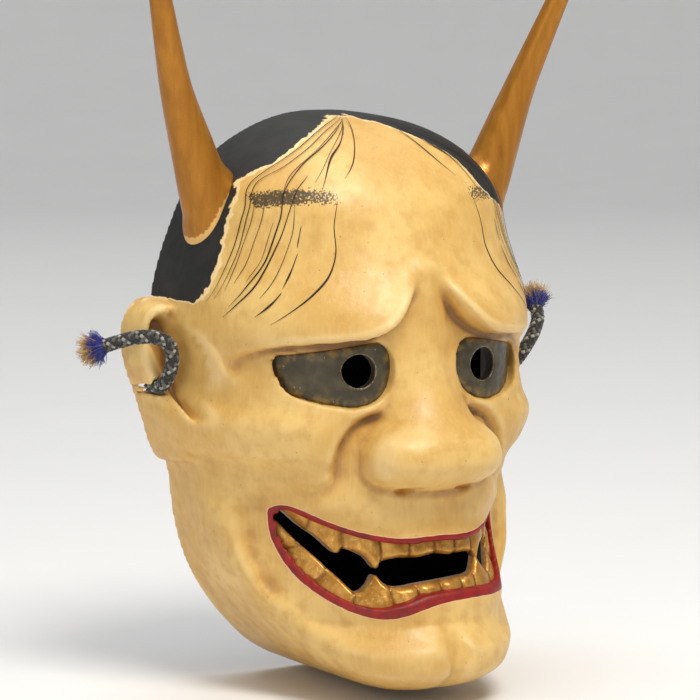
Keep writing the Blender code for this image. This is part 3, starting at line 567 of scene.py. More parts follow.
class Nodes:
    """A material's node tree, with short ways to add to it."""

    def __init__(self, name):
        self.material = bpy.data.materials.new(name)
        self.material.use_nodes = True
        self.tree = self.material.node_tree
        self.shader = self.tree.nodes["Principled BSDF"]
        metres = self.add("TexCoord").outputs["Object"]
        scale = self.add("VectorMath", {0: metres, "Scale": 1 / METRE}, operation="SCALE")
        self.place = scale.outputs[0]  # in millimetres
        self.colour = (0, 0, 0)

    def put(self, target, value):
        if isinstance(value, bpy.types.NodeSocket):
            self.tree.links.new(value, target)
        elif isinstance(value, tuple):
            target.default_value = (*value, 1) if len(value) == 3 and target.type == "RGBA" else value
        else:
            target.default_value = value

    def fill(self, node, inputs):
        for key, value in inputs.items():
            self.put(node.inputs[key], value)

    def add(self, kind, inputs=None, **settings):
        """A new node of a kind, with its settings and then its inputs filled in."""
        node = self.tree.nodes.new("ShaderNode" + kind)
        for key, value in settings.items():
            setattr(node, key, value)
        self.fill(node, inputs or {})
        return node

    def attribute(self, name):
        return self.add("Attribute", attribute_name=name).outputs["Fac"]

    def math(self, operation, a, b):
        return self.add("Math", {0: a, 1: b}, operation=operation).outputs[0]

    def ramp(self, value, start, end, low=0.0, high=1.0):
        """low below start, high above end, smooth between."""
        if start > end:
            start, end, low, high = end, start, high, low
        inputs = {"Value": value, "From Min": start, "From Max": end, "To Min": low, "To Max": high}
        return self.add("MapRange", inputs, interpolation_type="SMOOTHSTEP").outputs["Result"]

    def noise(self, size, detail, stretch=None):
        """Noise with features about that many millimetres across, 0 to 1."""
        place = self.place
        if stretch:
            place = self.add("VectorMath", {0: place, 1: stretch}, operation="MULTIPLY").outputs[0]
        inputs = {"Vector": place, "Scale": 1 / size, "Detail": detail}
        return self.add("TexNoise", inputs).outputs["Fac"]

    def cells(self, size, output):
        return self.add("TexVoronoi", {"Vector": self.place, "Scale": 1 / size}).outputs[output]

    def mix(self, amount, a, b):
        return self.add("Mix", {"Factor": amount, 6: a, 7: b}, data_type="RGBA").outputs[2]

    def coat(self, amount, paint):
        """Lays a paint over the colour so far."""
        self.colour = self.mix(amount, self.colour, paint)

    def blend(self, amount, a, b):
        return self.add("Mix", {"Factor": amount, 2: a, 3: b}).outputs[0]

    def dots(self, size, radius, share):
        """1 on dots of that radius, one in a share of the cells of that size."""
        near = self.ramp(self.cells(size, "Distance"), radius / size, 0.6 * radius / size)
        pick = self.add("SeparateColor", {0: self.cells(size, "Color")}).outputs[0]
        return self.math("MULTIPLY", near, self.math("LESS_THAN", pick, share))

    def finish(self, roughness, height, depth, metallic=0.0):
        """The finished material. depth is that of its bumps, in millimetres."""
        bumps = self.add("Bump", {"Strength": 1, "Distance": depth * METRE, "Height": height})
        self.fill(self.shader, {"Base Color": self.colour, "Roughness": roughness,
                                "Metallic": metallic, "Normal": bumps.outputs[0]})
        return self.material


def rgb(*screen):
    """A colour given as it looks on a screen, 0 to 255, made linear."""
    return tuple(((v / 255 + 0.055) / 1.055) ** 2.4 if v > 10 else v / 3295 for v in screen)


def painted_face():
    m = Nodes("painted_face")
    # Ground of shell-white paint toned with ochre, rubbed thin, stained and painted with shade in the
    # hollows
    broad = m.noise(26, 3)
    mottle = m.noise(6, 4)
    m.colour = m.mix(m.ramp(broad, 0.35, 0.68), rgb(210, 166, 88), rgb(225, 187, 112))
    m.coat(m.ramp(mottle, 0.42, 0.72, 0, 0.5), rgb(196, 148, 72))
    streaks = m.noise(1.2, 3, (1, 1, 0.09))
    m.coat(m.ramp(streaks, 0.45, 0.75, 0, 0.16), rgb(236, 206, 146))
    cavity = m.attribute("cavity")
    # Browner in the hollows: partly stain, partly painted shade
    stain_and_shade = m.math("ADD", cavity, m.ramp(mottle, 0.3, 0.7, -0.1, 0.1))
    m.coat(m.ramp(stain_and_shade, 0.15, 0.85, 0, 0.5), rgb(168, 112, 48))
    m.coat(m.ramp(stain_and_shade, 0.6, 1.6, 0, 0.7), rgb(96, 58, 24))
    # Paler on ridges: partly wear, partly a painted highlight
    m.coat(m.ramp(cavity, -0.15, -1, 0, 0.4), rgb(242, 214, 156))
    grime = m.math("MULTIPLY", m.ramp(m.noise(15, 4), 0.5, 0.75), m.ramp(m.noise(0.8, 2), 0.5, 0.62))
    m.coat(m.math("MULTIPLY", grime, 0.05), rgb(140, 92, 40))
    specks = m.math("MAXIMUM", m.dots(3, 0.22, 0.34), m.dots(8, 0.4, 0.14))
    m.coat(m.math("MULTIPLY", specks, 0.8), rgb(84, 52, 22))
    # False brow: stippled charcoal
    smudge = m.attribute("smudge")
    stipple = m.math("ADD", smudge, m.ramp(m.noise(0.75, 2), 0.25, 0.75, -0.5, 0.42))
    m.coat(m.ramp(stipple, 0.36, 0.72, 0, 0.9), rgb(44, 38, 30))
    # Hair: flat black, dusty, with a thin bare line along its edge
    wander = m.ramp(m.noise(3.5, 4), 0.2, 0.8, -0.4, 0.4)
    hair = m.math("ADD", m.attribute("hair"), wander)
    black = m.mix(m.ramp(m.noise(9, 4), 0.4, 0.7), rgb(16, 16, 15), rgb(30, 29, 26))
    black = m.mix(m.ramp(m.noise(1.0, 2, (1, 1, 0.2)), 0.6, 0.8, 0, 0.3), black, rgb(52, 48, 40))
    m.coat(m.math("MULTIPLY", m.ramp(hair, -0.75, -0.5), 0.8), rgb(240, 214, 160))
    m.coat(m.ramp(hair, -0.12, 0.08), black)
    # Ragged gesso edge round the foot of each horn
    foot = m.math("ADD", m.attribute("foot"), m.ramp(m.noise(1.8, 3), 0.2, 0.8, -0.8, 0.8))
    m.coat(m.ramp(foot, 0.75, 0.55), rgb(222, 178, 112))
    # Lips: red lacquer with a pale pinkish edge
    lip = m.math("ADD", m.attribute("lip"), m.ramp(m.noise(3, 2), 0.2, 0.8, -0.1, 0.1))
    red = m.mix(m.ramp(m.noise(4, 4), 0.35, 0.7), rgb(150, 12, 2), rgb(116, 8, 2))
    m.coat(m.math("MULTIPLY", m.ramp(lip, 0.3, 0.22), 0.7), rgb(238, 190, 158))
    m.coat(m.ramp(lip, 0.06, -0.06), red)
    # Back and hollow: bare carved wood under thin brown lacquer, kept very dark as painted shade inside
    # the hollow
    inner = m.attribute("inner")
    grain = m.noise(1.1, 4, (1, 1, 0.06))
    wood = m.mix(m.ramp(grain, 0.35, 0.7), rgb(56, 35, 21), rgb(36, 23, 15))
    wood = m.mix(m.ramp(m.noise(18, 3), 0.4, 0.7, 0, 0.6), wood, rgb(20, 14, 10))
    m.coat(m.ramp(inner, 0.35, 0.65), wood)
    rough = m.ramp(m.noise(5, 4), 0.3, 0.7, 0.36, 0.5)
    rough = m.blend(m.ramp(hair, -0.12, 0.08), rough, 0.62)
    rough = m.blend(m.ramp(lip, 0.06, -0.06), rough, 0.5)
    rough = m.blend(m.ramp(inner, 0.35, 0.65), rough, 0.85)
    fine = m.math("ADD", m.math("MULTIPLY", m.noise(0.7, 3), 0.35),
                  m.math("MULTIPLY", m.noise(3.2, 3, (1, 1, 0.4)), 0.9))
    fine = m.math("SUBTRACT", fine, m.math("MULTIPLY", specks, 0.5))
    fine = m.math("SUBTRACT", fine, m.ramp(hair, -0.2, 0.2, 0, 0.25))
    fine = m.math("ADD", fine, m.ramp(lip, 0.1, -0.1, 0, 0.5))
    fine = m.math("ADD", fine, m.math("MULTIPLY", m.math("MULTIPLY", grain, inner), 1.2))
    return m.finish(rough, fine, 0.14)


def gilt_horn():
    m = Nodes("gilt_horn")
    along = (1, 1, 0.07)
    m.colour = m.mix(m.ramp(m.noise(2.6, 4, along), 0.35, 0.68), rgb(166, 106, 24), rgb(178, 119, 32))
    m.coat(m.ramp(m.noise(20, 3), 0.42, 0.7, 0, 0.25), rgb(140, 82, 18))
    m.coat(m.ramp(m.noise(0.5, 2), 0.6, 0.75, 0, 0.2), rgb(222, 172, 84))
    worn = m.math("MULTIPLY", m.ramp(m.noise(3.6, 4, (1, 1, 0.3)), 0.66, 0.76), 0.3)
    m.coat(worn, rgb(112, 62, 18))
    foot = m.math("ADD", m.attribute("foot"), m.ramp(m.noise(1.6, 3), 0.2, 0.8, -0.55, 0.55))
    m.coat(m.ramp(foot, 0.85, 0.45), rgb(226, 178, 104))
    m.coat(m.math("MULTIPLY", m.dots(6, 0.3, 0.14), 0.8), rgb(70, 38, 12))
    height = m.math("ADD", m.noise(1.6, 4, along), m.math("MULTIPLY", m.noise(0.5, 2), 0.3))
    rough = m.ramp(m.noise(3, 4, along), 0.3, 0.7, 0.3, 0.46)
    return m.finish(rough, height, 0.09, 0.45)


def eye_metal():
    m = Nodes("eye_metal")
    edge = m.attribute("edge")
    m.colour = m.mix(m.ramp(m.noise(7, 4), 0.35, 0.7), rgb(66, 60, 46), rgb(88, 80, 60))
    gold = m.math("MULTIPLY", m.ramp(edge, 4.4, 0.6), m.ramp(m.noise(3.2, 4), 0.42, 0.66))
    m.coat(m.math("MULTIPLY", gold, 0.75), rgb(140, 112, 52))
    flecks = m.math("MULTIPLY", m.dots(1.3, 0.17, 0.24), m.ramp(m.noise(8, 2), 0.47, 0.6))
    m.coat(m.math("MAXIMUM", flecks, m.dots(4, 0.2, 0.12)), rgb(232, 200, 140))
    pupil = m.math("ADD", m.attribute("pupil"), m.ramp(m.noise(0.8, 3), 0.2, 0.8, -0.3, 0.3))
    m.coat(m.math("MULTIPLY", m.ramp(pupil, 0.34, 0.14), 0.7), rgb(176, 154, 104))
    # Near black on the wall of the pupil hole and its very edge: painted shade inside the hole
    m.coat(m.ramp(m.attribute("pupil"), 0.1, 0.03), rgb(16, 13, 10))
    height = m.math("ADD", m.noise(4, 3), m.math("MULTIPLY", m.noise(0.6, 3), 0.25))
    return m.finish(m.ramp(m.noise(2.2, 4), 0.3, 0.7, 0.34, 0.52), height, 0.2, 0.35)


def tooth_gilt():
    m = Nodes("tooth_gilt")
    groove = m.attribute("groove")
    m.colour = m.mix(m.ramp(m.noise(4, 4), 0.35, 0.68), rgb(178, 122, 44), rgb(206, 154, 72))
    m.coat(m.ramp(m.noise(1.1, 3), 0.55, 0.75, 0, 0.5), rgb(240, 206, 136))
    # Darker along the grooves between the teeth and round the edge of each row
    darker_near_grooves = m.math("ADD", groove, m.ramp(m.noise(0.9, 3), 0.2, 0.8, -0.15, 0.15))
    m.coat(m.ramp(darker_near_grooves, 0.7, 0.15, 0, 0.75), rgb(112, 66, 22))
    worn = m.math("MULTIPLY", m.ramp(m.noise(1.7, 4), 0.66, 0.76), 0.4)
    m.coat(worn, rgb(126, 74, 26))
    height = m.math("ADD", m.noise(1.5, 3), m.math("MULTIPLY", m.noise(0.4, 2), 0.3))
    return m.finish(m.ramp(m.noise(1.6, 3), 0.3, 0.7, 0.28, 0.42), height, 0.08, 0.5)


def yarn(name, first, second, size=0.3):
    """Soft fibres whose shade changes between two colours with the attribute tone."""
    m = Nodes(name)
    m.colour = m.mix(m.attribute("tone"), first, second)
    m.coat(m.ramp(m.noise(1.5, 3), 0.4, 0.7, 0, 0.35), tuple(0.45 * v for v in first))
    m.fill(m.shader, {"Sheen Weight": 0.3, "Specular IOR Level": 0.25})
    return m.finish(0.85, m.noise(size, 3, (1, 1, 0.5)), 0.1)


def ink():
    m = Nodes("ink")
    m.colour = m.mix(m.ramp(m.noise(1.4, 3), 0.4, 0.75, 0, 0.8), rgb(24, 18, 12), rgb(66, 44, 24))
    return m.finish(0.55, m.noise(0.5, 2), 0.03)


# ---------------------------------------------------------------- building pieces

def placed(name, data):
    """An object that holds the data, put in the scene."""
    thing = bpy.data.objects.new(name, data)
    bpy.context.scene.collection.objects.link(thing)
    return thing


def piece(name, points, faces, material, body, replaced=(), attributes=None):
    """A smooth mesh piece from points in millimetres, riding on a body."""
    mesh = bpy.data.meshes.new(name)
    pupils = np.float32((0, 0, RIM_ABOVE_PUPILS))
    points = (np.asarray(points, np.float32) - pupils) * np.float32(METRE)
    if isinstance(faces, np.ndarray):
        mesh.vertices.add(len(points))
        mesh.vertices.foreach_set("co", points.ravel())
        mesh.loops.add(faces.size)
        mesh.loops.foreach_set("vertex_index", faces.astype(np.int32).ravel())
        mesh.polygons.add(len(faces))
        starts = np.arange(0, faces.size, faces.shape[1], dtype=np.int32)
        mesh.polygons.foreach_set("loop_start", starts)
        mesh.update(calc_edges=True)
    else:
        mesh.from_pydata(points.tolist(), [], [tuple(int(i) for i in face) for face in faces])
    mesh.shade_smooth()
    mesh.materials.append(material)
    for key, values in (attributes or {}).items():
        layer = mesh.attributes.new(key, "FLOAT", "POINT")
        layer.data.foreach_set("value", np.asarray(values, np.float32))
    thing = placed(name, mesh)
    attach(thing, body)
    if replaced:
        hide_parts(*replaced)
    return thing


def face_maps():
    """A lattice over (x, z), wider than the face all round, and the face's height on it."""
    x_line = np.arange(-90, 90 + PITCH, PITCH)
    z_line = np.arange(-127, 97, PITCH)
    x, z = np.meshgrid(x_line, z_line, indexing="ij")
    height = relief(x, z)
    for _ in range(2):
        height = blurred(height, 0.6, PITCH)
    return x_line, z_line, x, z, height


def gouged(x, z):
    """Depth of the overlapping gouge cuts that leave the hollow of the mask faceted."""
    seeds = random.uniform((-80, -125), (80, 95), (GOUGE_CUTS, 2))
    best = np.full(x.shape, np.inf)
    for at_x, at_z in seeds:
        cut = ((x - at_x) / GOUGE_RADII[0]) ** 2 + ((z - at_z) / GOUGE_RADII[1]) ** 2
        best = np.minimum(best, cut)
    return np.clip(best, 0, 1.4) * GOUGE_DEPTH


def plate_height(x, z):
    """Front of an eye plate, which curves round the eyeball from the inner corner outwards."""
    return EYEBALL_HEIGHT - PLATE_SETBACK - PLATE_CURVE * (np.abs(x) - EYEBALL_MIDDLE) ** 2 + 0 * z


def horn_line(side):
    knots = [(side * x, -height, z, radius) for (x, z, height), radius in HORN]
    line = spline(knots, steps=8)
    tip = line[-1, :3] + (line[-1, :3] - line[-9, :3]) * 0.14
    return np.concatenate([line, [[*tip, 0.25]]])


def tube_distance(points, line):
    """Distance from points to the surface of a tapering round bar along (x, y, z, radius) points."""
    best = np.full(len(points), np.inf)
    for start, end in zip(line[:-1], line[1:]):
        run = end[:3] - start[:3]
        t = np.clip((points - start[:3]) @ run / (run @ run), 0, 1)
        away = np.linalg.norm(points - start[:3] - t[:, None] * run, axis=1)
        best = np.minimum(best, away - (start[3] + t * (end[3] - start[3])))
    return best


def wide(grid):
    """A map over (x, z) as a field over (x, y, z)."""
    return grid[:, None, :].astype(np.float32)


def out_of(height, slope, y):
    """About how far a point is in front of a surface that faces forward, negative behind it."""
    return -(y + wide(height)) / wide(np.sqrt(1 + slope ** 2))


def shell_field(x, y, z, height, hollow, slope, face, mouth):
    """Negative in the wood: the shell, less everything that is cut into it."""
    away = np.abs(x)
    outline = np.minimum(face, region(away, z, EAR))
    field = smooth_max(out_of(height, slope, y), wide(outline), ROUND_EDGE)
    hollow_slope = np.hypot(*np.gradient(hollow, PITCH))
    inside = smooth_max(out_of(hollow, hollow_slope, y), wide(face + WALL), ROUND_EDGE)
    seat_floor = plate_height(x, z) - PLATE_THICKNESS - GAP
    seat = np.maximum(wide(region(away, z, EYE)), y + wide(seat_floor))
    sight = np.hypot(away - PUPIL[0], z - PUPIL[1]) - PUPIL_BORE_RADIUS
    lips = lower_face(away, z) - LIP_DEPTH
    pocket = np.maximum(wide(mouth - POCKET_SPREAD), y + wide(lips))
    pocket = np.maximum(pocket, -(y + wide(lips - POCKET_DEPTH)))
    hole = np.hypot(away - CORD_HOLE[0], z - CORD_HOLE[1]) - CORD_HOLE_RADIUS
    groove = np.hypot(wide(z - CORD_HOLE[1]), y + CORD_LINE) - GROOVE_RADIUS
    groove = np.maximum(groove, wide(np.maximum(GROOVE_END - away, away - CORD_HOLE[0] - 1.5)))
    (across, front, up), (width, depth, half) = NOSTRIL, NOSTRIL_RADII
    rise = wide(z - up + NOSTRIL_TILT * (away - NOSTRIL_LEVEL))
    slit = np.sqrt((wide(away - across) / width) ** 2 + ((y + front) / depth) ** 2
                   + (rise / half) ** 2) - 1
    for cut in (inside, seat, wide(np.minimum(sight, mouth)), pocket, wide(hole), groove, 1.3 * slit):
        field = np.maximum(field, -cut)
    return np.maximum(field, y)


def paint_maps(points, corner, height, hollow, slope, face, mouth):
    """What the paint needs to know at each point, and whether the point is deep in the hollow."""
    across = points[:, 0]
    front = -points[:, 1]
    up = points[:, 2]

    def here(grid):
        return sampled(grid, corner, PITCH, across, up)

    surface = here(height)
    behind = (front < here(hollow) + 0.8) & (here(face) < -WALL * 0.55)
    # The walls deep in the mouth and round the pupil bores take this dark wood too, as painted shade
    deep = (front < surface - LIP_DEPTH - 1.2) & (here(mouth) < 6)
    bore = np.hypot(np.abs(across) - PUPIL[0], up - PUPIL[1]) < PUPIL_BORE_RADIUS + 2
    dark = behind | deep | bore | (front < 0.3)
    # Cavity is high in hollows, which are painted browner as stain and painted shade
    folds = blurred(height, 3.2, PITCH) - height
    # Cavity below zero on ridges, which are painted paler as wear and painted highlight
    cavity = here(folds / (1 + 0.5 * slope))
    # Walls cut well behind the front get a middling cavity, a little painted shade
    cavity = cavity + (0.3 - cavity) * step(1, 4.5, surface - front)
    lip = np.where(front < 45, 9, region(across, up, LIPS))
    beyond = [(84, 30), (84, 110), (0, 110)]
    hair = np.where(across < 0, region(-across, up, HAIRLINE + beyond),
                    region(across, up, HAIRLINE_RIGHT + beyond))
    hair = np.minimum(-hair, region(np.abs(across), up, EAR) + 0.4)
    distance, along = stroke(np.abs(across), up, SMUDGE)
    smudge = curve(along, [(0, 0.95), (0.3, 1), (0.6, 0.75), (1, 0.2)]) * np.exp(-(distance / 2.9) ** 4)
    smudge = smudge * step(0, 0.05, along) * step(1, 0.9, along)
    foot = np.minimum(tube_distance(points, horn_line(-1)), tube_distance(points, horn_line(1)))
    foot = np.where(front < 12, 9, foot)
    maps = {"cavity": cavity, "lip": lip, "hair": hair, "smudge": smudge, "foot": foot,
            "inner": dark.astype(float)}
    return maps, behind & (here(mouth) > 8)


def carved_face():
    """The shell, cut from a lattice. Only its hollow is made of fewer triangles."""
    x_line, z_line, x, z, height = face_maps()
    y_line = np.arange(-111, 3 * PITCH, PITCH).astype(np.float32)
    hollow = worn_down(height, WALL, PITCH)
    hollow = blurred(blurred(hollow, 2.5, PITCH), 2, PITCH)
    hollow = np.minimum(hollow, height - 0.6 * WALL) - gouged(x, z)
    slope = np.hypot(*np.gradient(height, PITCH))
    face = region(np.abs(x), z, mirrored(FACE))
    mouth = region(x, z, MOUTH)
    field = shell_field(x, y_line[None, :, None], z, height, hollow, slope, face, mouth)
    points, quads = surface_net(field, np.array([x_line[0], y_line[0], z_line[0]]), PITCH)
    points[:, 1] = np.minimum(points[:, 1], 0)
    corner = (x_line[0], z_line[0])
    maps, coarse = paint_maps(points, corner, height, hollow, slope, face, mouth)
    shell = piece("carved_face", points, quads, painted_face(), "mask",
                  ["mask_shell"], maps)
    group = shell.vertex_groups.new(name="hollow")
    group.add(np.flatnonzero(coarse).tolist(), 1, "REPLACE")
    thin = shell.modifiers.new("fewer_triangles", "DECIMATE")
    thin.vertex_group = "hollow"
    thin.ratio = min(1, SHELL_TRIANGLES / (2 * len(quads)))
    return height, corner


def brush_strokes(height, flat):
    """Fine hairs in black ink: thin ribbons laid on the forehead, swelling and tapering."""
    points = []
    faces = []
    for side in (-1, 1):
        for width, way in STROKES:
            line = spline(sided(way, side), steps=14)
            run = np.gradient(line, axis=0)
            run /= np.linalg.norm(run, axis=1, keepdims=True)
            across = np.stack([-run[:, 1], run[:, 0]], axis=1)
            t = np.linspace(0, 1, len(line))
            body = np.sin(math.pi * np.clip(t, 0.02, 0.98)) ** 0.55
            half = width * 0.5 * body * (1 + 0.25 * np.sin(9 * t + 7 * width + side))
            base = len(points)
            for offset, lift in ((-1, 0.02), (0, 0.17), (1, 0.02)):
                where = line + across * (offset * half)[:, None]
                h = sampled(height, flat, PITCH, where[:, 0], where[:, 1]) + lift
                points += list(np.stack([where[:, 0], -h, where[:, 1]], axis=1))
            many = len(line)
            for row in (0, 1):
                for i in range(many - 1):
                    a = base + row * many + i
                    faces.append((a, a + 1, a + many + 1, a + many))
            for i in range(many - 1):
                faces.append((base + i + 1, base + i, base + 2 * many + i, base + 2 * many + i + 1))
    return piece("hair_strokes", points, faces, ink(), "mask")


def outline_mesh(edge, holes, spacing):
    """Points and counter-clockwise triangles over a closed outline, round holes left open."""
    count = len(edge)
    low = edge.min(axis=0)
    high = edge.max(axis=0)
    x, z = np.meshgrid(np.arange(low[0], high[0], spacing), np.arange(low[1], high[1], spacing))
    keep = region(x, z, edge) < -0.55 * spacing
    for cx, cz, radius in holes:
        keep &= np.hypot(x - cx, z - cz) > radius + 0.5 * spacing
    flat = edge.tolist() + np.stack([x[keep], z[keep]], axis=1).tolist()
    rings = [(i, (i + 1) % count) for i in range(count)]
    for cx, cz, radius in holes:
        first = len(flat)
        turns = np.arange(HOLE_SIDES) * 2 * math.pi / HOLE_SIDES
        flat += np.stack([cx + radius * np.cos(turns), cz + radius * np.sin(turns)], axis=1).tolist()
        rings += [(first + i, first + (i + 1) % HOLE_SIDES) for i in range(HOLE_SIDES)]
    found, _, triangles, _, _, _ = delaunay_2d_cdt([Vector(p) for p in flat], rings, [], 1, 1e-6)
    plan = np.array([tuple(point) for point in found])
    triangles = np.array([tuple(face) for face in triangles])
    middle = plan[triangles].mean(axis=1)
    for cx, cz, radius in holes:
        outside = np.hypot(middle[:, 0] - cx, middle[:, 1] - cz) > radius * 0.995
        triangles = triangles[outside]
        middle = middle[outside]
    return plan, triangles


def slab(plan, triangles, front, back):
    """Points and faces of a closed plate over a flat mesh, between two heights."""
    many = len(plan)
    points = [(x, -h, z) for (x, z), h in zip(plan, front)]
    points += [(x, -h, z) for (x, z), h in zip(plan, back)]
    faces = [tuple(face) for face in triangles]
    faces += [tuple(many + i for i in face[::-1]) for face in faces]
    sides = {(a, b) for face in triangles.tolist() for a, b in zip(face, face[1:] + face[:1])}
    for a, b in sides:
        if (b, a) not in sides:
            faces.append((b, a, many + a, many + b))
    return points, faces


def eye_plate(side, material):
    name = "left" if side < 0 else "right"
    edge = grown(sided(EYE, side), -GAP)
    centre = (side * PUPIL[0], PUPIL[1])
    plan, triangles = outline_mesh(edge, [(*centre, PUPIL_RADIUS)], 0.9)
    x, z = plan.T
    rim = -region(x, z, edge)
    pupil = np.hypot(x - centre[0], z - centre[1]) - PUPIL_RADIUS
    front = plate_height(x, z) - 0.35 * np.exp(-(pupil / 0.5) ** 2) - 0.3 * np.exp(-(rim / 0.5) ** 2)
    front = front + 0.12 * np.sin(0.9 * x + 0.4 * z) * np.sin(0.7 * z - 0.3 * x)
    points, faces = slab(plan, triangles, front, plate_height(x, z) - PLATE_THICKNESS)
    return piece(f"beaten_eye_{name}", points, faces, material, "mask",
                 [f"eye_plate_{name}"], {"edge": np.tile(rim, 2), "pupil": np.tile(pupil, 2)})


def tooth_row(name, outline, grooves, node, material):
    """A row of teeth carved from one strip: each swells between its grooves and has a soft edge."""
    edge = grown(outline, -GAP)
    edge = spline(edge[::2].tolist(), closed=True, steps=5)
    plan, triangles = outline_mesh(edge, [], 0.6)
    x, z = plan.T
    rim = np.maximum(-region(x, z, edge), 0)
    gap = np.full(len(x), np.inf)
    for line in grooves:
        gap = np.minimum(gap, nearest(x, z, np.array(line, float))[0])
    height = lower_face(np.abs(x), z) - TOOTH_SETBACK
    front = height + 1.0 * (1 - np.exp(-(gap / 1.9) ** 2)) - 0.9 * np.exp(-(gap / 0.45) ** 2)
    front = front - 1.7 * np.exp(-(rim / 0.8) ** 2) + 0.08 * np.sin(1.1 * x + z)
    back = np.minimum(height - TOOTH_DEPTH, front - 0.6)
    points, faces = slab(plan, triangles, front, back)
    groove = np.minimum(gap, rim + 0.35)
    return piece(name, points, faces, material, "mask", [node],
                 {"groove": np.tile(groove, 2)})


def head_form():
    """The outer form of the head under the right horn, drawn in by the sink of the horn's foot."""
    pitch = 2.0
    x_line = np.arange(32, 92, pitch)
    y_line = np.arange(-70, 25, pitch)
    z_line = np.arange(15, 102, pitch)
    x, z = np.meshgrid(x_line, z_line, indexing="ij")
    height = relief(x, z)
    slope = np.hypot(*np.gradient(height, pitch))
    outline = np.minimum(region(x, z, mirrored(FACE)), region(x, z, EAR))
    y = y_line[None, :, None]
    field = -(y + height[:, None, :]) / np.sqrt(1 + slope ** 2)[:, None, :]
    field = smooth_max(field, outline[:, None, :] + 0 * y, ROUND_EDGE)
    field = np.maximum(field, y - 12)
    return field, np.array([x_line[0], y_line[0], z_line[0]]), pitch


def horn(side, form, material):
    name = "left" if side < 0 else "right"
    field, corner, pitch = form
    knots = horn_line(side)
    rings = np.array(rings_along(knots[:, :3].tolist(), knots[:, 3].tolist(), HORN_SIDES))
    centre = knots[:, None, :3]
    reach = rings - centre
    index = (rings * (side, 1, 1) - corner) / pitch
    cell = np.clip(np.round(index).astype(int), 0, np.array(field.shape) - 1)
    outside = field[cell[..., 0], cell[..., 1], cell[..., 2]]
    clear = np.where(rings[..., 2] > 100, 30, outside)
    for _ in range(3):
        clear = (clear + np.roll(clear, 1, 1) + np.roll(clear, -1, 1)) / 3
    turn = np.arange(HORN_SIDES) * 2 * math.pi / HORN_SIDES
    along = np.linspace(0, 1, len(knots))[:, None]
    swell = 1 + 0.012 * np.sin(3 * turn + 9 * along) + 0.008 * np.sin(5 * turn - 14 * along)
    flare = 0.17 * np.exp(-(np.maximum(clear, 0) / 3.2) ** 2)
    inward = -side * reach[..., 0] / np.linalg.norm(reach, axis=2)
    knuckle = 0.3 * np.clip(inward, 0, 1) ** 2 * np.exp(-((rings[..., 2] - 64) / 8) ** 2)
    rings = centre + reach * (swell + flare + knuckle)[..., None]
    points = rings.reshape(-1, 3)
    away = np.clip(clear.ravel(), -3, 30)
    thing = piece(f"carved_horn_{name}", points, closed_skin(rings, HORN_SIDES), material, "mask",
                  [f"horn_{name}"], {"foot": away})
    inner = field + HORN_SINK
    inner[0] = inner[:, 0] = inner[:, :, 0] = pitch
    block, quads = surface_net(inner, corner, pitch)
    block[:, 0] *= side
    if side < 0:
        quads = quads[:, ::-1]
    mesh = bpy.data.meshes.new(f"head_form_{name}")
    block = (block - (0, 0, RIM_ABOVE_PUPILS)) * METRE
    mesh.from_pydata(block.tolist(), [], quads.tolist())
    cutter = placed(f"head_form_{name}", mesh)
    modifier = thing.modifiers.new("foot", "BOOLEAN")
    modifier.object = cutter
    modifier.solver = "EXACT"
    bpy.context.view_layer.update()
    shaped = thing.evaluated_get(bpy.context.evaluated_depsgraph_get())
    trimmed = bpy.data.meshes.new_from_object(shaped)
    thing.modifiers.clear()
    thing.data = trimmed
    bpy.data.objects.remove(cutter)
    return thing


# ---------------------------------------------------------------- cord

class Bundle:
    """Many bars in one mesh, each with a tone of its own."""

    def __init__(self):
        self.points = []
        self.faces = []
        self.tones = []

    def bar(self, line, side, up, tone, sides):
        """A closed bar round a line of points. side and up are its half widths across."""
        base = len(self.points)
        many = len(line)
        for j in range(sides):
            turn = 2 * math.pi * j / sides
            self.points += (line + side * math.cos(turn) + up * math.sin(turn)).tolist()
            self.tones += [tone] * many
        for j in range(sides):
            a = base + j * many
            b = base + (j + 1) % sides * many
            self.faces += [(a + i, b + i, b + i + 1, a + i + 1) for i in range(many - 1)]
        self.faces.append(tuple(base + j * many for j in range(sides - 1, -1, -1)))
        self.faces.append(tuple(base + j * many + many - 1 for j in range(sides)))

    def strand(self, line, normal, tone, sides):
        """A flat bar whose thin way is along the normal."""
        run = np.gradient(line, axis=0)
        run /= np.linalg.norm(run, axis=1, keepdims=True)
        side = np.cross(run, normal)
        side /= np.linalg.norm(side, axis=1, keepdims=True) + 1e-9
        up = np.cross(side, run)
        self.bar(line, side * STRAND_HALF_WIDTH, up * STRAND_HALF_THICKNESS, tone, sides)

    def fibre(self, start, heading, length, curl, thickness, tone):
        """One loose fibre: a thin three-sided bar that wanders as it goes."""
        place = np.array(start, float)
        heading = heading / np.linalg.norm(heading)
        line = [place]
        for _ in range(FIBRE_POINTS - 1):
            heading = heading + random.normal(0, curl, 3)
            heading /= np.linalg.norm(heading)
            place = place + heading * length / (FIBRE_POINTS - 1)
            line.append(place)
        side = np.cross(heading, (0.3, 0.2, 0.93))
        side /= np.linalg.norm(side)
        taper = np.linspace(1, 0.5, FIBRE_POINTS)[:, None] * thickness
        self.bar(np.array(line), taper * side, taper * np.cross(side, heading), tone, 3)

    def piece(self, name, material, body, slot, nodes):
        return piece(name, self.points, self.faces, material, body, nodes, {"tone": self.tones})


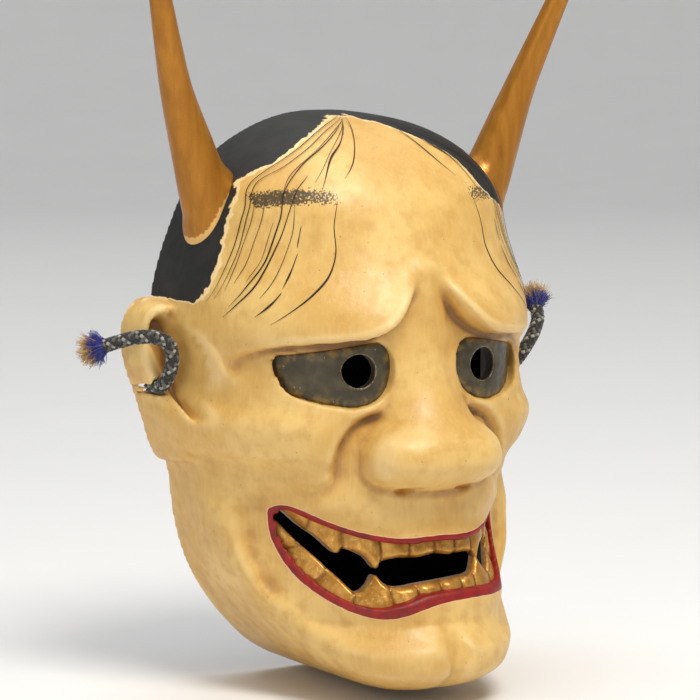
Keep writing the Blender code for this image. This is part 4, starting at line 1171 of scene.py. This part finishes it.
def braided(name, path, body, nodes, material, steps_per_mm, sides):
    """A hollow braid of sixteen flat strands, eight each way, two of them light."""
    line = spline(path, steps=12)
    gaps = np.linalg.norm(np.diff(line, axis=0), axis=1)
    distance = np.concatenate([[0], np.cumsum(gaps)])
    count = int(distance[-1] * steps_per_mm)
    s = np.linspace(0, distance[-1], count)
    centre = np.stack([np.interp(s, distance, line[:, n]) for n in range(3)], axis=1)
    rings = np.array(rings_along(centre.tolist(), [1.0] * count, 4))
    first = rings[:, 0] - centre
    second = rings[:, 1] - centre
    bundle = Bundle()
    for family in (-1, 1):
        for k in range(8):
            turn = family * 2 * math.pi * s / BRAID_LAY + 2 * math.pi * k / 8
            lift = family * 0.34 * np.cos(16 * math.pi * s / BRAID_LAY)
            normal = first * np.cos(turn)[:, None] + second * np.sin(turn)[:, None]
            way = centre + normal * (CORD_RADIUS - 0.72 + lift)[:, None]
            tone = 1.0 if family > 0 and k % 4 == 1 else (0.08 if k % 4 else 0.35)
            bundle.strand(way, normal, tone, sides)
    # A tube inside the strands in the braid's darkest tone: painted shade in the gaps between them
    inner = [CORD_RADIUS - 1.15] * count
    hidden = rings_along(centre[::4].tolist(), inner[::4], 10)
    bundle.faces += closed_skin(hidden, 10, len(bundle.points))
    bundle.points += [point for ring in hidden for point in ring]
    bundle.tones += [0.0] * (10 * len(hidden))
    bundle.piece(name, material, body, "braid", nodes)
    return centre[-1], centre[-1] - centre[-4]


def across_directions(heading):
    heading = heading / np.linalg.norm(heading)
    side = np.cross(heading, (0.1, -1, 0.2))
    side /= np.linalg.norm(side)
    return heading, side, np.cross(side, heading)


def facing_in(out, end):
    """0 to 1: how much a direction at a cord's end points back at the face."""
    return max(0, -out[0] * np.sign(end[0]))


def frayed_sheath(name, end, heading, body, material):
    """Blue and pale fibres of the unravelled braid, flaring round the core."""
    heading, side, up = across_directions(heading)
    bundle = Bundle()
    for _ in range(BRAID_FIBRES):
        turn = random.uniform(0, 2 * math.pi)
        out = side * math.cos(turn) + up * math.sin(turn)
        radius = random.uniform(1.5, 2.8)
        start = end - heading * random.uniform(0.2, 1.6) + out * radius
        lean = random.uniform(0.3, 0.85) * (1 - 1.3 * facing_in(out, end))
        pale = random.uniform() < 0.15
        length = random.uniform(3.5, 6.5) * (1.15 if pale else 1)
        bundle.fibre(start, heading + out * lean, length, 0.17, random.uniform(0.13, 0.2),
                     random.uniform(0.7, 1) if pale else random.uniform(0, 0.3))
    return bundle.piece(name, material, body, "braid", ())


def frayed_core(name, end, heading, body, nodes, material):
    """The core's yarns standing out of the braid in curled, tousled ends."""
    heading, side, up = across_directions(heading)
    bundle = Bundle()
    for yarn_end in range(YARN_ENDS):
        turn = 2 * math.pi * yarn_end / YARN_ENDS + random.uniform(-0.3, 0.3)
        out = side * math.cos(turn) + up * math.sin(turn)
        spread = 0.0 if yarn_end == 0 else random.uniform(0.25, 0.6)
        spread *= 1 - 0.85 * facing_in(out, end)
        shade = random.uniform(0.15, 0.9)
        way = heading + out * spread
        bend = random.normal(0, 0.35, 3)
        for _ in range(YARN_FIBRES):
            jitter = random.normal(0, 0.42, 3)
            start = end + heading * 0.6 + out * 0.9 * (spread > 0) + jitter
            length = random.uniform(6.5, 9.5)
            bundle.fibre(start, way + bend * 0.25 + random.normal(0, 0.1, 3), length, 0.2,
                         random.uniform(0.1, 0.17), np.clip(shade + random.normal(0, 0.15), 0, 1))
    return bundle.piece(name, material, body, "yarn", nodes)


def cord_end(side, braid_yarn, blue_yarn, gold_yarn):
    name = "left" if side < 0 else "right"
    way = CORD_END_LEFT if side < 0 else CORD_END_RIGHT
    path = [(x, -h, z) for x, z, h in sided(way, side)]
    body = f"cord_end_{name}"
    end, heading = braided(f"braid_{name}", path, body, [f"cord_sheath_{name}"], braid_yarn, 4.5, 6)
    frayed_sheath(f"frayed_braid_{name}", end, heading, body, blue_yarn)
    frayed_core(f"frayed_core_{name}", end, heading, body, [f"cord_core_{name}"], gold_yarn)


def hanging_cord(braid_yarn):
    half = [(x, -CORD_LINE, z) for x, z in HANGING]
    path = [(-x, y, z) for x, y, z in half] + half[-2::-1]
    nodes = ["hanging_cord_sheath", "hanging_cord_core"]
    braided("braid_hanging", path, "hanging_cord", nodes, braid_yarn, 2.2, 4)


# ---------------------------------------------------------------- studio

PUPILS = Vector((0, 0, -RIM_ABOVE_PUPILS * METRE))
FLOOR_Z = -0.2109
VIEW_AZIMUTH = -30
VIEW_ELEVATION = 6
CAMERA_DISTANCE = 1.195
CAMERA_LENS = 159.8
AIM_RIGHT = 0.01184  # of the pupils, as the camera sees it
AIM_DOWN = 0.000555
CARD_SIDES = (-0.02, 0.062)  # left and right of the pupils, as the camera sees it
CARD_ENDS = (-0.095, 0.018)  # below and above them
# colour of the painted shadow card
PAINTED_SHADOW_COLOUR = (0.004, 0.005, 0.007)
CARD_SHOWS = 0.985  # cosine of the angle off the camera within which the card shows
ROUND = 72  # sides of the floor
FLOOR_RADIUS = 3
CURVE_RADIUS = 1.5
WALL_HEIGHT = 2.5
LIGHTS = [  # name, place and target from the pupils, diameter, watts, colour
    ("key", (0.0, -0.8, 1.15), (0, -0.05, 0), 0.6, 14.5, (1, 0.97, 0.9)),
    ("fill", (-1.3, -0.7, 0.3), (0, -0.05, 0), 1.1, 3, (1, 0.97, 0.92)),
    ("overhead", (0, 0.6, 3.2), (0, 0.2, -0.2), 4.5, 75, (1, 1, 1)),
]


def plain_floor():
    """A pale round floor that curves up all round, so that no edge of it shows."""
    m = Nodes("floor")
    m.colour = m.mix(m.noise(60, 3), (0.80, 0.80, 0.80), (0.83, 0.83, 0.83))
    material = m.finish(0.8, m.noise(0.8, 3), 0.03)
    profile = [(0, 0), (1.2, 0), (FLOOR_RADIUS, 0)]
    for step_up in range(1, 9):
        turn = math.pi / 2 * step_up / 8
        rise = CURVE_RADIUS * (1 - math.cos(turn))
        profile.append((FLOOR_RADIUS + CURVE_RADIUS * math.sin(turn), rise))
    profile.append((FLOOR_RADIUS + CURVE_RADIUS, WALL_HEIGHT))
    turns = [2 * math.pi * k / ROUND for k in range(ROUND)]
    points = [(r * math.cos(a), r * math.sin(a), FLOOR_Z + z) for r, z in profile for a in turns]
    faces = skin(profile, ROUND)
    mesh = bpy.data.meshes.new("floor")
    mesh.from_pydata(points, [], [face[::-1] for face in faces])
    mesh.shade_smooth()
    mesh.materials.append(material)
    placed("floor", mesh)


def view_axes():
    """Right, up and towards the camera, as unit vectors of the view."""
    azimuth = math.radians(VIEW_AZIMUTH)
    elevation = math.radians(VIEW_ELEVATION)
    right = Vector((math.cos(azimuth), math.sin(azimuth), 0))
    back = Vector((math.sin(azimuth) * math.cos(elevation), -math.cos(azimuth) * math.cos(elevation),
                   math.sin(elevation)))
    return right, back.cross(right), back


def painted_shadow_card():
    """A dark card behind the mouth and the pupils: a painted shadow that makes them read dark from the
    front.
    It faces the camera and is clear from every other side."""
    right, up, back = view_axes()
    (low, high), (near, far) = CARD_ENDS, CARD_SIDES
    corners = [PUPILS + right * x + up * z
               for x, z in ((near, low), (far, low), (far, high), (near, high))]
    mesh = bpy.data.meshes.new("painted_shadow_card")
    mesh.from_pydata([tuple(c) for c in corners], [], [(0, 1, 2, 3)])
    m = Nodes("painted_shadow_card")
    m.fill(m.shader, {"Base Color": PAINTED_SHADOW_COLOUR, "Roughness": 0.9, "Specular IOR Level": 0.1})
    incoming = m.add("NewGeometry").outputs["Incoming"]
    facing = m.add("VectorMath", {0: incoming, 1: tuple(back)}, operation="DOT_PRODUCT")
    seen = m.math("GREATER_THAN", facing.outputs["Value"], CARD_SHOWS)
    clear = m.add("BsdfTransparent").outputs[0]
    look = m.add("MixShader", {0: seen, 1: clear, 2: m.shader.outputs[0]})
    m.fill(m.tree.nodes["Material Output"], {"Surface": look.outputs[0]})
    mesh.materials.append(m.material)
    placed("painted_shadow_card", mesh)


def area_light(name, location, target, size, power, colour):
    light = bpy.data.lights.new(name, "AREA")
    light.shape = "DISK"
    light.size = size
    light.energy = power
    light.color = colour
    lamp = placed(name, light)
    lamp.location = PUPILS + Vector(location)
    lamp.rotation_euler = (Vector(location) - Vector(target)).to_track_quat("Z", "Y").to_euler()


def studio():
    plain_floor()
    painted_shadow_card()
    world = bpy.data.worlds.new("studio")
    world.use_nodes = True
    world.node_tree.nodes["Background"].inputs["Color"].default_value = (0.80, 0.80, 0.80, 1)
    world.node_tree.nodes["Background"].inputs["Strength"].default_value = 0.3
    bpy.context.scene.world = world
    bpy.context.scene.view_settings.view_transform = "Standard"
    for light in LIGHTS:
        area_light(*light)


def camera():
    right, up, back = view_axes()
    focus = PUPILS + right * AIM_RIGHT - up * AIM_DOWN
    data = bpy.data.cameras.new("camera")
    data.sensor_width = 36
    data.lens = CAMERA_LENS
    data.clip_start = 0.01
    eye = placed("camera", data)
    eye.location = focus + back * CAMERA_DISTANCE
    eye.rotation_euler = back.to_track_quat("Z", "Y").to_euler()
    bpy.context.scene.camera = eye


def build():
    height, flat = carved_face()
    brush_strokes(height, flat)
    metal = eye_metal()
    gilt = tooth_gilt()
    horn_gold = gilt_horn()
    form = head_form()
    braid_yarn = yarn("braid_yarn", rgb(12, 12, 16), rgb(168, 164, 154), 0.25)
    blue_yarn = yarn("blue_yarn", rgb(28, 34, 138), rgb(96, 100, 150))
    gold_yarn = yarn("gold_yarn", rgb(168, 118, 48), rgb(222, 188, 116))
    tooth_row("carved_upper_teeth", mirrored(UPPER_TEETH), UPPER_GROOVES, "upper_teeth", gilt)
    tooth_row("carved_lower_teeth", np.array(LOWER_TEETH, float), LOWER_GROOVES, "lower_teeth", gilt)
    for side in (-1, 1):
        eye_plate(side, metal)
        horn(side, form, horn_gold)
        cord_end(side, braid_yarn, blue_yarn, gold_yarn)
    hanging_cord(braid_yarn)
    studio()
    camera()


build()
bpy.context.view_layer.update()
